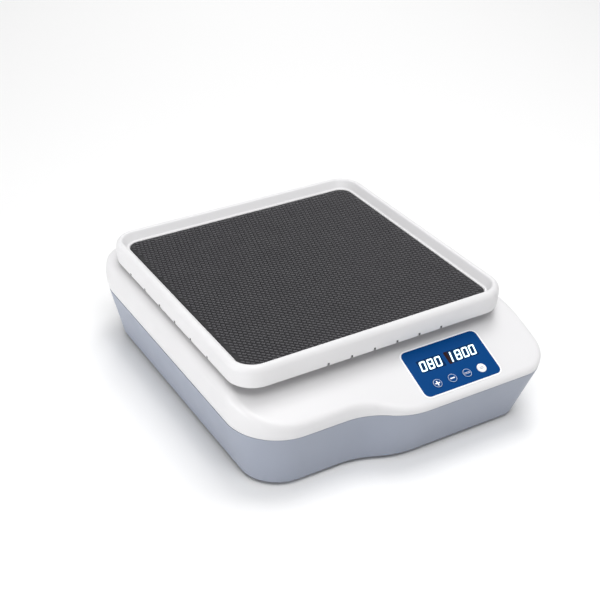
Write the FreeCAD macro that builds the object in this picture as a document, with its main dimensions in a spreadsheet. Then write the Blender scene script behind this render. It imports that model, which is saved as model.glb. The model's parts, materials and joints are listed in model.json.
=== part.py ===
import FreeCAD, Part
import math
import os
import Sketcher
from FreeCAD import Placement, Rotation, Vector

# Orbital shaker, millimetres.  The origin is on the ground under the middle of the body.
# +X is the operator's right, +Y points to the rear and +Z is up.

DOC = FreeCAD.newDocument("orbital_shaker")
SHEET = DOC.addObject("Spreadsheet::Sheet", "Sizes")

DRIVING_SIZES = (
    # body outline at its widest line
    ("half_width", 146.95, "half the width of the body"),
    ("rear_edge", 174.0, "distance of the rear edge from the middle"),
    ("front_right_edge", 175.14, "front right edge from the middle, before the slope trims it"),
    ("front_left_edge", 152.74, "front left edge from the middle"),
    ("wave_start", -56.0, "x where the front edge leaves its left straight"),
    ("wave_end", 13.0, "x where the front edge reaches its right straight"),
    ("corner_front_left", 51.0, "plan radius"),
    ("corner_front_right", 27.5, "plan radius"),
    ("corner_rear", 27.7, "plan radius"),
    # body heights
    ("floor_height", 5.0, "underside of the housing, which is the height of the feet"),
    ("parting_height", 59.0, "joint between lower housing and top cover"),
    ("widest_height", 73.0, "line where the cover is widest"),
    ("cover_height", 96.5, "flat top of the cover under the tray"),
    ("slope_angle", 22.8, "tilt of the control slope, degrees"),
    ("slope_foot", 65.0, "height of the control slope where it meets the front edge"),
    ("slope_blend", 60.0, "radius that joins flat top and slope"),
    ("shoulder", 12.5, "radius of the cover's upper edge"),
    ("bulge", 2.0, "how far the widest line stands out past the parting line"),
    ("bottom_inset", 12.6, "how far the underside stands in from the parting line"),
    ("bottom_front_extra", 7.0, "more inset at the front right"),
    ("bottom_rear_less", 9.5, "less inset at the rear, whose wall is nearly upright"),
    ("bottom_rounder", 6.5, "larger plan radius of the underside's rear and right corners"),
    ("shell_wall", 2.5, "wall of cover and housing"),
    # orbit
    ("orbit_radius", 10.0, "throw of the crank and of every idler"),
    ("orbit_y", 2.4, "y of the drive axis"),
    ("rest_angle", 135.0, "crank angle at rest, degrees"),
    ("idler_spread", 85.0, "idler axes from the drive axis, along x and along y"),
    # tray
    ("tray_half", 136.6, "half of the tray's square side"),
    ("tray_corner", 25.0, "plan radius"),
    ("rim_width", 9.0, "rim, from the tray's edge to the foot of its inner wall"),
    ("tray_top", 122.9, "top of the rim"),
    ("skirt_bottom", 102.5, "lower edge of the tray's skirt"),
    ("tray_floor", 113.3, "upper face of the tray's floor"),
    ("tray_ledge", 114.9, "flat ledge between the rim and the mat"),
    ("floor_thick", 3.0, "tray floor"),
    ("skirt_wall", 3.2, "tray skirt"),
    ("mat_half", 123.6, "half of the mat's square side"),
    ("mat_corner", 12.0, "plan radius"),
    ("mat_thick", 1.9, "mat"),
    # control panel, in its own plane
    ("panel_x", 53.85, "middle of the panel"),
    ("panel_up", 31.35, "middle of the panel, measured up the slope from its foot"),
    ("panel_half_width", 40.2, "blue overlay"),
    ("panel_half_height", 24.2, "blue overlay"),
    ("panel_corner", 5.5, "plan radius"),
    ("key_radius", 4.4, "round key"),
    ("key_pitch", 15.7, "spacing of the four keys"),
    ("key_row", -14.3, "key centres below the middle of the panel"),
    ("window_row", 5.6, "display centres above the middle of the panel"),
    ("window_half_height", 6.5, "both displays"),
    # mechanism
    ("bearing_outer", 13.0, "radius of the main bearings"),
    ("bearing_inner", 5.0, "radius of the drive shaft"),
    ("bearing_thick", 8.0, "main bearings"),
    ("small_outer", 11.0, "radius of the idler bearings"),
    ("small_inner", 4.0, "radius of the idler shafts"),
    ("small_thick", 7.0, "idler bearings"),
    ("running_gap", 0.05, "radial clearance of every shaft in its bearing"),
    ("belt_low", 58.0, "lower edge of the belt"),
    ("belt_width", 9.0, "belt"),
    ("big_pulley", 38.2, "pitch radius, 60 teeth"),
    ("small_pulley", 12.73, "pitch radius, 20 teeth"),
    ("motor_back", 90.0, "motor axis behind the drive axis"),
)


class Size:
    """A length that carries its number and the expression that ties it to the sheet."""

    def __init__(self, number, text=None):
        self.number = float(number)
        self.text = text if text is not None else "%.6g" % number

    def join(self, other, sign, number):
        other = as_size(other)
        return Size(number(self.number, other.number), "(%s %s %s)" % (self.text, sign, other.text))

    def __add__(self, other):
        return self.join(other, "+", lambda a, b: a + b)

    def __sub__(self, other):
        return self.join(other, "-", lambda a, b: a - b)

    def __mul__(self, other):
        return self.join(other, "*", lambda a, b: a * b)

    def __truediv__(self, other):
        return self.join(other, "/", lambda a, b: a / b)

    def __neg__(self):
        return Size(-self.number, "(0 - %s)" % self.text)

    __radd__ = __add__

    def __rsub__(self, other):
        return as_size(other) - self

    def __rmul__(self, other):
        return as_size(other) * self


def as_size(value):
    return value if isinstance(value, Size) else Size(value)


def fill_sheet():
    """Writes the driving sizes to the sheet and returns them by name."""
    sizes = {}
    for row, (alias, value, meaning) in enumerate(DRIVING_SIZES, start=1):
        SHEET.set("A%d" % row, meaning)
        SHEET.set("B%d" % row, "%.6g" % value)
        SHEET.setAlias("B%d" % row, alias)
        sizes[alias] = Size(value, "Sizes.%s" % alias)
    DOC.recompute()
    return sizes


S = fill_sheet()


def cosine(angle):
    return Size(math.cos(math.radians(angle.number)), "cos(%s * 1 deg)" % angle.text)


def sine(angle):
    return Size(math.sin(math.radians(angle.number)), "sin(%s * 1 deg)" % angle.text)


def tangent(angle):
    return Size(math.tan(math.radians(angle.number)), "tan(%s * 1 deg)" % angle.text)


# ---------------------------------------------------------------- derived sizes

REST_X = S["orbit_radius"] * cosine(S["rest_angle"])
REST_Y = S["orbit_radius"] * sine(S["rest_angle"])
TRAY_X = REST_X
TRAY_Y = S["orbit_y"] + REST_Y
SLOPE_RISE = tangent(S["slope_angle"])
PANEL_Y = S["panel_up"] * cosine(S["slope_angle"]) - S["rear_edge"]
PANEL_Z = S["slope_foot"] + S["panel_up"] * sine(S["slope_angle"])
IDLER_SIGNS = ((-1, -1), (1, -1), (1, 1), (-1, 1))
IDLER_NAMES = ("front_left", "front_right", "rear_right", "rear_left")
KEY_NAMES = ("plus", "minus", "mode", "start")
KEY_OFFSET = 0.25           # the key row stands this far right of the panel's middle
SCREW_SPOTS = ((-122, 148), (122, 148), (-122, 30), (122, 30), (-112, -122), (116, -138), (-30, -124))
FOOT_SPOTS = ((-96, 128), (96, 128), (-96, -98), (96, -98))
BASE_PLATE_THICK = 2.0
PLATE_TOP = S["floor_height"] + S["shell_wall"] + BASE_PLATE_THICK
APERTURE_X = S["panel_half_width"] - 2.8    # half the opening in the cover behind the overlay
APERTURE_Y = S["panel_half_height"] - 2.8
KEY_X = [S["key_pitch"] * (i - 1.5) + KEY_OFFSET for i in range(4)]
DISPLAYS = {"speed": (-17.6, 12.7), "time": (14.6, 16.0)}   # middle and half width
BOARD_TOP = -8.9            # face of the display board, below the slope
RECESS = (-96, -24, 157.0, 14.0, 44.0)      # rear connector recess: x, x, face y, z, z
SWITCH_X, SWITCH_Z = -78, 29
JACK_X, JACK_Z = -42, 29
ROCKER_TILT = 9.0           # the rocker stands this far off level, in degrees
TRAY_SCREWS = ((-78, 34), (78, 34), (78, -34), (-78, -34))
NOTCH_COUNT = 6             # notches along each side of the tray's skirt
NOTCH_PITCH_X, NOTCH_PITCH_Y = 23.0, 32.1
NOTCH_WIDTH, NOTCH_HEIGHT = 2.2, 3.0
NOTCH_SHIFT = 4.5           # the notches stand this far right of, or behind, the middle
CRANK_TOP = 106.0           # upper end of the crank pin and of the idlers

# plain sizes of single pieces
OUTSIDE = 200               # further out than any face of the body
BOSS_RADIUS, PILOT_RADIUS, PILOT_DEPTH = 4.2, 1.4, 9.0      # screw bosses inside the cover
COLUMN_RADIUS, COLUMN_BORE, COLUMN_WELL = 4.8, 1.8, 3.4     # screw columns of the housing
HEAD_SEAT = 30.0            # height where the long screws' heads bear
RECESS_WALL = 2.5
VENT_COUNT, VENT_FIRST, VENT_PITCH, VENT_WIDTH = 12, 20, 8, 3
VENT_LOW, VENT_HIGH = 22, 40
BASE_PLATE_EDGE = (-108, 108, -112, 142, 18)    # x, x, y, y and corner radius
M3, M4 = 1.5, 2.0           # screw radii; the holes of M3 screws have the same radius
FOOT_LOW, FOOT_HIGH, FOOT_WELL, FOOT_BORE = 10.5, 12.0, 5.2, 2.2
FOOT_SEAT = 3.0             # height where the foot screws' heads bear
BORDER_WIDTH, BORDER_THICK, OVERLAY_THICK = 1.3, 0.5, 0.7
CARRIER_THICK, PEG_RADIUS = 2.5, 2.0
PEG_SPOTS = ((-34, -17), (34, -17), (-34, 17.8), (34, 17.8))
BOARD_THICK, BOARD_HALF_X, BOARD_HALF_Y = 1.6, 36.5, 20.0
KEY_FACE, KEY_SHOULDER, KEY_END, KEY_STEM = 1.1, -1.4, -5.0, 1.8    # levels and stem radius
TACT_HALF, TACT_HIGH, PLUNGER_RADIUS, PLUNGER_HIGH = 3.0, 3.0, 1.6, 0.4
SWITCH_HALF_X, SWITCH_HALF_Z, SWITCH_LIP = 9.2, 5.7, 1.3
WELL_HALF_X, WELL_HALF_Z = 8.2, 4.0
STUB_RADIUS, STUB_REACH = 1.2, 5.1          # the rocker's pivots
JACK_RADIUS, JACK_FLANGE, JACK_NUT, PLUG_RADIUS, PIN_RADIUS = 5.5, 7.2, 8.0, 3.2, 1.0
DRIVE_TOP, DRIVE_TUBE, DRIVE_FLANGE, DRIVE_FLANGE_THICK = 56.0, 18.0, 34.0, 4.5
DRIVE_SCREW_CIRCLE = 28.0
SHAFT_TOP = 73.5
DISC_LOW, DISC_THICK, DISC_RADIUS, PIN_SEAT = 69.0, 10.0, 20.0, 5.5
WEIGHT_RADIUS, WEIGHT_HALF_ANGLE = 57.0, 56.0
MOTOR_LOW, MOTOR_TOP, MOTOR_RADIUS, MOTOR_SHAFT, MOTOR_BOSS = 14.0, 48.0, 21.0, 2.5, 7.0
BRACKET_HALF_X, BRACKET_HALF_Y, BRACKET_FOOT, BRACKET_SHEET = 30, 24, 44, 2.5
BELT_THICK, BELT_GAP, TOOTH = 1.4, 0.3, 0.8
POST_TOP, POST_RADIUS, POST_FLANGE = 80.0, 14.0, 19.0
WEB_THICK, WEB_END, JOURNAL_LONG = 6.0, 8.0, 15.0
PLATFORM_HALF, PLATFORM_CORNER, PLATFORM_THICK, HUB_RADIUS = 112, 20, 3.2, 17
LIGHTENING_SPOTS, LIGHTENING_RADIUS = ((56, 0), (0, 56), (-56, 0), (0, -56)), 16
SINK_DEPTH, SINK_RADIUS = 1.7, 3.2          # countersinks for the tray's screws
RIM_ROUND_OUTSIDE, RIM_ROUND_INSIDE = 4.5, 2.0
MAT_PLAY = 0.4              # gap round the mat
BOARD_EDGE = (50, 104, -52, 52)             # control board: x, x, y, y
SPACER_HIGH, SPACER_RADIUS = 6.0, 3.0
CAPACITORS = ((64, 12, 6.3, 21), (64, 30, 6.3, 21), (84, 10, 4, 12), (84, 24, 4, 12))


# ---------------------------------------------------------------- sketches and features

def bind(target, path, value):
    """Sets one property of an object from a size and keeps it tied to the sheet."""
    target.setExpression(path, as_size(value).text)


def put(target, x=0, y=0, z=0, rotation=None):
    """Places an object and ties its position to the sheet."""
    x, y, z = as_size(x), as_size(y), as_size(z)
    target.Placement = Placement(Vector(x.number, y.number, z.number), rotation or Rotation())
    for letter, value in (("x", x), ("y", y), ("z", z)):
        if "Sizes" in value.text:
            bind(target, "Placement.Base.%s" % letter, value)
    return target


def new_body(label):
    body = DOC.addObject("PartDesign::Body", label)
    body.Label = label
    return body


def new_sketch(body, name, height=0.0, role="XY_Plane"):
    """A sketch on one of the body's own planes, lifted along that plane's normal."""
    sketch = body.newObject("Sketcher::SketchObject", name)
    plane = [item for item in body.Origin.OriginFeatures if item.Role == role][0]
    sketch.AttachmentSupport = [(plane, "")]
    sketch.MapMode = "FlatFace"
    height = as_size(height)
    sketch.AttachmentOffset = Placement(Vector(0, 0, height.number), Rotation())
    if "Sizes" in height.text:
        bind(sketch, "AttachmentOffset.Base.z", height)
    return sketch


def fix(sketch, kind, *places):
    """Adds one dimension; the last item is its size, bound to the sheet."""
    value = as_size(places[-1])
    index = sketch.addConstraint(Sketcher.Constraint(kind, *places[:-1], value.number))
    if "Sizes" in value.text:
        sketch.setExpression("Constraints[%d]" % index, value.text)
    return index


def draw(sketch, pieces):
    """Adds lines and arcs to a sketch and returns their ids."""
    return [sketch.addGeometry(piece, False) for piece in pieces]


def join_tangent(sketch, ids, ends):
    """Joins each piece's end to the next piece's start with a tangent constraint."""
    for step, first in enumerate(ids):
        second = ids[(step + 1) % len(ids)]
        sketch.addConstraint(Sketcher.Constraint("Tangent", first, ends[step][1],
                                                 second, ends[(step + 1) % len(ids)][0]))


def arc(x, y, radius, start, end):
    return Part.ArcOfCircle(Part.Circle(Vector(x, y, 0), Vector(0, 0, 1), radius),
                            math.radians(start), math.radians(end))


def line(x0, y0, x1, y1):
    return Part.LineSegment(Vector(x0, y0, 0), Vector(x1, y1, 0))


FORWARD = (1, 2)            # start point, end point
BACKWARD = (2, 1)


def rounded_rectangle(sketch, x0, x1, y0, y1, corner):
    """A rectangle with equal round corners, drawn anticlockwise from its lower left."""
    x0, x1, y0, y1, corner = (as_size(item) for item in (x0, x1, y0, y1, corner))
    left, right, low, high, r = x0.number, x1.number, y0.number, y1.number, corner.number
    ids = draw(sketch, (
        line(left, high - r, left, low + r), arc(left + r, low + r, r, 180, 270),
        line(left + r, low, right - r, low), arc(right - r, low + r, r, 270, 360),
        line(right, low + r, right, high - r), arc(right - r, high - r, r, 0, 90),
        line(right - r, high, left + r, high), arc(left + r, high - r, r, 90, 180)))
    join_tangent(sketch, ids, [FORWARD] * 8)
    for step in (0, 4):
        sketch.addConstraint(Sketcher.Constraint("Vertical", ids[step]))
    for step in (2, 6):
        sketch.addConstraint(Sketcher.Constraint("Horizontal", ids[step]))
    fix(sketch, "DistanceX", -1, 1, ids[0], 1, x0)
    fix(sketch, "DistanceX", -1, 1, ids[4], 1, x1)
    fix(sketch, "DistanceY", -1, 1, ids[2], 1, y0)
    fix(sketch, "DistanceY", -1, 1, ids[6], 1, y1)
    fix(sketch, "Radius", ids[1], corner)
    for step in (3, 5, 7):
        sketch.addConstraint(Sketcher.Constraint("Equal", ids[1], ids[step]))


def circle(sketch, x, y, radius):
    x, y, radius = as_size(x), as_size(y), as_size(radius)
    index = sketch.addGeometry(Part.Circle(Vector(x.number, y.number, 0), Vector(0, 0, 1),
                                           radius.number), False)
    fix(sketch, "DistanceX", -1, 1, index, 3, x)
    fix(sketch, "DistanceY", -1, 1, index, 3, y)
    fix(sketch, "Radius", index, radius)


def body_outline(sketch, inset=0, front_extra=0, rear_less=0, rounder=0):
    """The body in plan: round corners and a front edge that steps forward in a wave.

    inset moves the whole outline in, front_extra moves the front right edge in further,
    rear_less leaves the rear edge further out and rounder adds to three corner radii.
    """
    inset = as_size(inset)
    side = S["half_width"] - inset
    rear = S["rear_edge"] - inset + rear_less
    front_left = S["front_left_edge"] - inset
    front_right = S["front_right_edge"] - inset - front_extra
    r_left = S["corner_front_left"] - inset
    r_right = S["corner_front_right"] - inset + rounder
    r_rear = S["corner_rear"] - inset + rounder
    run = S["wave_end"] - S["wave_start"]
    step = front_right - front_left
    wave = (run * run + step * step) / (step * 4)       # mean radius of the two tangent arcs
    r_first = wave + inset if front_extra == 0 else wave
    x0, x1 = S["wave_start"].number, S["wave_end"].number
    a, b, fl, fr = side.number, rear.number, front_left.number, front_right.number
    rl, rr, rb = r_left.number, r_right.number, r_rear.number
    swing = math.degrees(2 * math.atan2(step.number, run.number))
    r1 = r_first.number
    r2 = 2 * wave.number - r1
    ids = draw(sketch, (
        line(-a, b - rb, -a, -fl + rl), arc(-a + rl, -fl + rl, rl, 180, 270),
        line(-a + rl, -fl, x0, -fl), arc(x0, -fl - r1, r1, 90 - swing, 90),
        arc(x1, -fr + r2, r2, 270 - swing, 270), line(x1, -fr, a - rr, -fr),
        arc(a - rr, -fr + rr, rr, 270, 360), line(a, -fr + rr, a, b - rb),
        arc(a - rb, b - rb, rb, 0, 90), line(a - rb, b, -a + rb, b),
        arc(-a + rb, b - rb, rb, 90, 180)))
    ends = [FORWARD] * 11
    ends[3] = BACKWARD
    join_tangent(sketch, ids, ends)
    for step_id in (0, 7):
        sketch.addConstraint(Sketcher.Constraint("Vertical", ids[step_id]))
    for step_id in (2, 5, 9):
        sketch.addConstraint(Sketcher.Constraint("Horizontal", ids[step_id]))
    fix(sketch, "DistanceX", -1, 1, ids[0], 1, -side)
    fix(sketch, "DistanceX", -1, 1, ids[7], 1, side)
    fix(sketch, "DistanceY", -1, 1, ids[2], 1, -front_left)
    fix(sketch, "DistanceY", -1, 1, ids[5], 1, -front_right)
    fix(sketch, "DistanceY", -1, 1, ids[9], 1, rear)
    fix(sketch, "DistanceX", -1, 1, ids[2], 2, S["wave_start"])
    fix(sketch, "DistanceX", -1, 1, ids[5], 1, S["wave_end"])
    fix(sketch, "Radius", ids[1], r_left)
    fix(sketch, "Radius", ids[6], r_right)
    fix(sketch, "Radius", ids[8], r_rear)
    fix(sketch, "Radius", ids[10], r_rear)
    fix(sketch, "Radius", ids[3], r_first)


def pad(body, sketch, length):
    feature = body.newObject("PartDesign::Pad", sketch.Name + "_pad")
    feature.Profile = sketch
    bind(feature, "Length", length)
    sketch.Visibility = False
    DOC.recompute()
    return feature


def pocket(body, sketch, length, upward=False):
    """Cuts a sketch down (or up) by length, and stops if nothing was cut."""
    before = body.Shape.Volume
    feature = body.newObject("PartDesign::Pocket", sketch.Name + "_pocket")
    feature.Profile = sketch
    bind(feature, "Length", length)
    feature.Reversed = upward
    DOC.recompute()
    if not body.Shape.Volume < before - 0.01:
        raise RuntimeError("%s cut nothing" % feature.Name)
    return feature


def fillet(body, radius, wanted):
    """Rounds the edges of the body's last feature for which wanted(edge) is true."""
    tip = body.Tip
    names = ["Edge%d" % (i + 1) for i, edge in enumerate(tip.Shape.Edges) if wanted(edge)]
    feature = body.newObject("PartDesign::Fillet", body.Name + "_fillet_%d" % len(body.Group))
    feature.Base = (tip, names)
    bind(feature, "Radius", radius)
    DOC.recompute()
    return feature


# ---------------------------------------------------------------- primitives and booleans

def cylinder(name, radius, height, x=0, y=0, z=0, along=None):
    shape = DOC.addObject("Part::Cylinder", name)
    bind(shape, "Radius", radius)
    bind(shape, "Height", height)
    return put(shape, x, y, z, Rotation(Vector(0, 0, 1), along) if along else None)


def cone(name, low_radius, high_radius, height, x=0, y=0, z=0):
    shape = DOC.addObject("Part::Cone", name)
    bind(shape, "Radius1", low_radius)
    bind(shape, "Radius2", high_radius)
    bind(shape, "Height", height)
    return put(shape, x, y, z)


def block(name, x0, x1, y0, y1, z0, z1):
    x0, x1, y0, y1, z0, z1 = (as_size(item) for item in (x0, x1, y0, y1, z0, z1))
    shape = DOC.addObject("Part::Box", name)
    bind(shape, "Length", x1 - x0)
    bind(shape, "Width", y1 - y0)
    bind(shape, "Height", z1 - z0)
    return put(shape, x0, y0, z0)


def fuse(label, *shapes):
    result = DOC.addObject("Part::MultiFuse", label)
    result.Label = label
    result.Shapes = list(shapes)
    result.Refine = True
    return result


def cut(label, base, *tools):
    result = DOC.addObject("Part::Cut", label)
    result.Label = label
    result.Base = base
    result.Tool = tools[0] if len(tools) == 1 else fuse(label + "_tools", *tools)
    return result


def common(label, first, second):
    result = DOC.addObject("Part::Common", label)
    result.Label = label
    result.Base = first
    result.Tool = second
    return result


def group(label, shapes):
    """Several equal pieces that share one file, each a separate solid."""
    result = DOC.addObject("Part::Compound", label)
    result.Label = label
    result.Links = list(shapes)
    return result


def ring(name, outer, inner, height, x=0, y=0, z=0):
    return cut(name, cylinder(name + "_rim", outer, height, x, y, z),
               cylinder(name + "_hole", inner, as_size(height) + 2, x, y, as_size(z) - 1))


def pan_head_screw(name, radius, length, x, y, z, up=True):
    """A screw with its head's bearing face at z; the shank points up or down from there."""
    shank = cylinder(name + "_shank", radius, length, x, y, z if up else as_size(z) - length)
    head = cylinder(name + "_head", radius * 1.9, radius * 1.2, x, y,
                    as_size(z) - radius * 1.2 if up else z)
    recess_z = as_size(z) - radius * 1.2 - 0.01 if up else as_size(z) + radius * 0.5
    recess = [block("%s_slot_%d" % (name, i), as_size(x) - w, as_size(x) + w, as_size(y) - d,
                    as_size(y) + d, recess_z, recess_z + radius * 0.7 + 0.02)
              for i, (w, d) in enumerate(((radius, radius * 0.2), (radius * 0.2, radius)))]
    return cut(name, fuse(name + "_form", shank, head), *recess)


# ---------------------------------------------------------------- casing

def cover_form(label, wall):
    """The cover as a solid: flared foot, upright wall, round shoulder and control slope."""
    wall = as_size(wall)
    body = new_body(label)
    foot = new_sketch(body, label + "_foot", S["parting_height"])
    body_outline(foot, S["bulge"] + wall)
    widest = new_sketch(body, label + "_widest", S["widest_height"])
    body_outline(widest, wall)
    flare = body.newObject("PartDesign::AdditiveLoft", label + "_flare")
    flare.Profile = foot
    flare.Sections = [widest]
    flare.Ruled = True
    DOC.recompute()
    upper = new_sketch(body, label + "_upper", S["widest_height"])
    body_outline(upper, wall)
    top = S["cover_height"] - wall
    pad(body, upper, top - S["widest_height"])
    fillet(body, S["shoulder"] - wall,
           lambda edge: edge.BoundBox.ZMin > top.number - 0.01)
    slope = new_sketch(body, label + "_slope", -OUTSIDE, "YZ_Plane")
    slope_profile(slope, wall)
    trim = body.newObject("PartDesign::Pocket", label + "_trim")
    trim.Profile = slope
    trim.Length = 2 * OUTSIDE
    trim.Reversed = True
    before = body.Shape.Volume
    DOC.recompute()
    if not body.Shape.Volume < before - 1:
        raise RuntimeError("the control slope was not cut")
    return body


def slope_profile(sketch, wall):
    """The space above the control slope, seen from the side and closed well outside."""
    top = S["cover_height"] - wall
    angle = S["slope_angle"]
    crease = (S["cover_height"] - S["slope_foot"]) / SLOPE_RISE - S["rear_edge"]
    reach = S["slope_blend"] * tangent(angle / 2)
    radius = S["slope_blend"] - wall
    centre_y = crease + reach
    low_y = centre_y - radius * sine(angle)
    low_z = top - radius * (1 - cosine(angle))
    out_y = -(S["rear_edge"] + 20)
    out_z = low_z - (low_y - out_y) * SLOPE_RISE
    high_z = top + 10
    spots = ((out_y, out_z), (low_y, low_z), (centre_y, top), (centre_y, high_z), (out_y, high_z))
    flat = [(y.number, z.number) for y, z in spots]
    tilt = angle.number
    ids = [sketch.addGeometry(piece, False) for piece in (
        line(*flat[0], *flat[1]),
        arc(centre_y.number, top.number - radius.number, radius.number, 90, 90 + tilt),
        line(*flat[2], *flat[3]), line(*flat[3], *flat[4]), line(*flat[4], *flat[0]))]
    ends = (FORWARD, BACKWARD, FORWARD, FORWARD, FORWARD)
    for step, first in enumerate(ids):
        following = (step + 1) % len(ids)
        sketch.addConstraint(Sketcher.Constraint("Coincident", first, ends[step][1],
                                                 ids[following], ends[following][0]))
    for step, (y, z) in enumerate(spots):
        fix(sketch, "DistanceX", -1, 1, ids[step], ends[step][0], y)
        fix(sketch, "DistanceY", -1, 1, ids[step], ends[step][0], z)
    fix(sketch, "Radius", ids[1], radius)


def panel_place(shape):
    """Moves a piece drawn in the panel's own plane onto the control slope."""
    tilt = Rotation(Vector(1, 0, 0), S["slope_angle"].number)
    return put(shape, S["panel_x"], PANEL_Y, PANEL_Z, tilt)


def idler_spots():
    return [(S["idler_spread"] * sx, S["orbit_y"] + S["idler_spread"] * sy)
            for sx, sy in IDLER_SIGNS]


def make_top_cover():
    outer = cover_form("cover_outside", 0)
    inner = cover_form("cover_inside", S["shell_wall"])
    under = S["parting_height"]
    bosses = [cylinder("cover_boss_%d" % i, BOSS_RADIUS, OUTSIDE, x, y, under)
              for i, (x, y) in enumerate(SCREW_SPOTS)]
    inside_bosses = common("cover_bosses", fuse("cover_boss_set", *bosses), outer)
    shell = fuse("cover_with_bosses", cut("cover_shell", outer, inner), inside_bosses)
    openings = [cylinder("cover_crank_hole", S["orbit_radius"] + S["bearing_inner"] + 2, OUTSIDE,
                         0, S["orbit_y"], S["widest_height"])]
    for name, (x, y) in zip(IDLER_NAMES, idler_spots()):
        openings.append(cylinder("cover_idler_hole_" + name,
                                 S["orbit_radius"] + S["small_inner"] + 2.5, OUTSIDE, x, y,
                                 S["widest_height"]))
    for i, (x, y) in enumerate(SCREW_SPOTS):
        openings.append(cylinder("cover_pilot_%d" % i, PILOT_RADIUS, PILOT_DEPTH + 1, x, y, under - 1))
    aperture = new_body("panel_aperture")
    sketch = new_sketch(aperture, "panel_aperture_edge", -12)
    rounded_rectangle(sketch, -APERTURE_X, APERTURE_X, -APERTURE_Y, APERTURE_Y, 3)
    pad(aperture, sketch, 16)
    openings.append(panel_place(aperture))
    return cut("top_cover", shell, *openings)


def housing_form(label, wall, low, high):
    """The tapered lower housing as a solid between two heights."""
    wall = as_size(wall)
    body = new_body(label)
    bottom = new_sketch(body, label + "_bottom", low)
    body_outline(bottom, S["bulge"] + S["bottom_inset"] + wall, S["bottom_front_extra"],
                 S["bottom_rear_less"], S["bottom_rounder"])
    top = new_sketch(body, label + "_top", high)
    body_outline(top, S["bulge"] + wall)
    loft = body.newObject("PartDesign::AdditiveLoft", label + "_loft")
    loft.Profile = bottom
    loft.Sections = [top]
    loft.Ruled = True
    DOC.recompute()
    return body


def make_lower_housing():
    low, high, wall = S["floor_height"], S["parting_height"], S["shell_wall"]
    outer = housing_form("housing_outside", 0, low, high)
    inner = housing_form("housing_inside", wall, low + wall, high)
    left, right, face, bottom, top = RECESS
    backing = common("recess_backing", outer, block(
        "recess_block", left - RECESS_WALL, right + RECESS_WALL, face - RECESS_WALL, OUTSIDE,
        bottom - RECESS_WALL, top + RECESS_WALL))
    columns = [cylinder("column_%d" % i, COLUMN_RADIUS, high - low, x, y, low)
               for i, (x, y) in enumerate(SCREW_SPOTS)]
    body = fuse("housing_solid", cut("housing_shell", outer, inner), backing, *columns)
    holes = [block("recess_space", left, right, face, OUTSIDE, bottom, top)]
    for i, (x, y) in enumerate(SCREW_SPOTS):
        holes.append(cylinder("column_bore_%d" % i, COLUMN_BORE, high, x, y, 0))
        holes.append(cylinder("column_well_%d" % i, COLUMN_WELL, HEAD_SEAT, x, y, 0))
    for i, (x, y) in enumerate(FOOT_SPOTS):
        holes.append(cylinder("foot_bore_%d" % i, FOOT_BORE, 10, x, y, 0))
    inside = face - RECESS_WALL - 1
    holes.append(block("switch_hole", SWITCH_X - SWITCH_HALF_X, SWITCH_X + SWITCH_HALF_X, inside,
                       face + 1, SWITCH_Z - SWITCH_HALF_Z, SWITCH_Z + SWITCH_HALF_Z))
    holes.append(cylinder("jack_hole", JACK_RADIUS, RECESS_WALL + 2, JACK_X, inside, JACK_Z,
                          Vector(0, 1, 0)))
    for i in range(VENT_COUNT):
        x = VENT_FIRST + VENT_PITCH * i
        holes.append(block("vent_%d" % i, x, x + VENT_WIDTH, face, OUTSIDE, VENT_LOW, VENT_HIGH))
    return cut("lower_housing", body, *holes)


def make_base_plate():
    body = new_body("base_plate")
    sketch = new_sketch(body, "base_plate_edge", S["floor_height"] + S["shell_wall"])
    rounded_rectangle(sketch, *BASE_PLATE_EDGE)
    for x, y in FOOT_SPOTS:
        circle(sketch, x, y, M4)
    for x, y in plate_screw_spots():
        circle(sketch, x, y, M3)
    pad(body, sketch, BASE_PLATE_THICK)
    return body


def plate_screw_spots():
    """Screws that hold the motor bracket and the drive housing down to the base plate."""
    spots = [(x, S["orbit_y"] + S["motor_back"] + y) for x in (-38, 38) for y in (-17, 17)]
    turn = [math.radians(45 + 90 * i) for i in range(4)]
    spots += [(DRIVE_SCREW_CIRCLE * math.cos(a), S["orbit_y"] + DRIVE_SCREW_CIRCLE * math.sin(a))
              for a in turn]
    return spots


def make_feet():
    feet = []
    for name, (x, y) in zip(("rear_left", "rear_right", "front_left", "front_right"), FOOT_SPOTS):
        form = cone("foot_form_" + name, FOOT_LOW, FOOT_HIGH, S["floor_height"], x, y, 0)
        well = cylinder("foot_well_" + name, FOOT_WELL, FOOT_SEAT + 1, x, y, -1)
        bore = cylinder("foot_hole_" + name, FOOT_BORE, 10, x, y, 0)
        feet.append(cut("foot_" + name, form, well, bore))
    return feet


def make_casing_screws():
    foot_screws = [pan_head_screw("foot_screw_%d" % i, M4, 6.4, x, y, FOOT_SEAT)
                   for i, (x, y) in enumerate(FOOT_SPOTS)]
    cover_screws = [pan_head_screw("cover_screw_%d" % i, PILOT_RADIUS, 37, x, y, HEAD_SEAT)
                    for i, (x, y) in enumerate(SCREW_SPOTS)]
    return [group("foot_screws", foot_screws), group("cover_screws", cover_screws)]


# ---------------------------------------------------------------- control panel

def panel_sheet(label, low, thick, half_x, half_y, corner, windows=False, keys=0.0):
    """A flat piece in the panel's plane, with display windows and key holes if asked."""
    body = new_body(label)
    sketch = new_sketch(body, label + "_edge", low)
    rounded_rectangle(sketch, -half_x, half_x, -half_y, half_y, corner)
    if windows:
        for x, half in DISPLAYS.values():
            rounded_rectangle(sketch, x - half, x + half, S["window_row"] - S["window_half_height"],
                              S["window_row"] + S["window_half_height"], 0.8)
    if keys:
        for x in KEY_X:
            circle(sketch, x, S["key_row"], keys)
    pad(body, sketch, thick)
    return panel_place(body)


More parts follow.
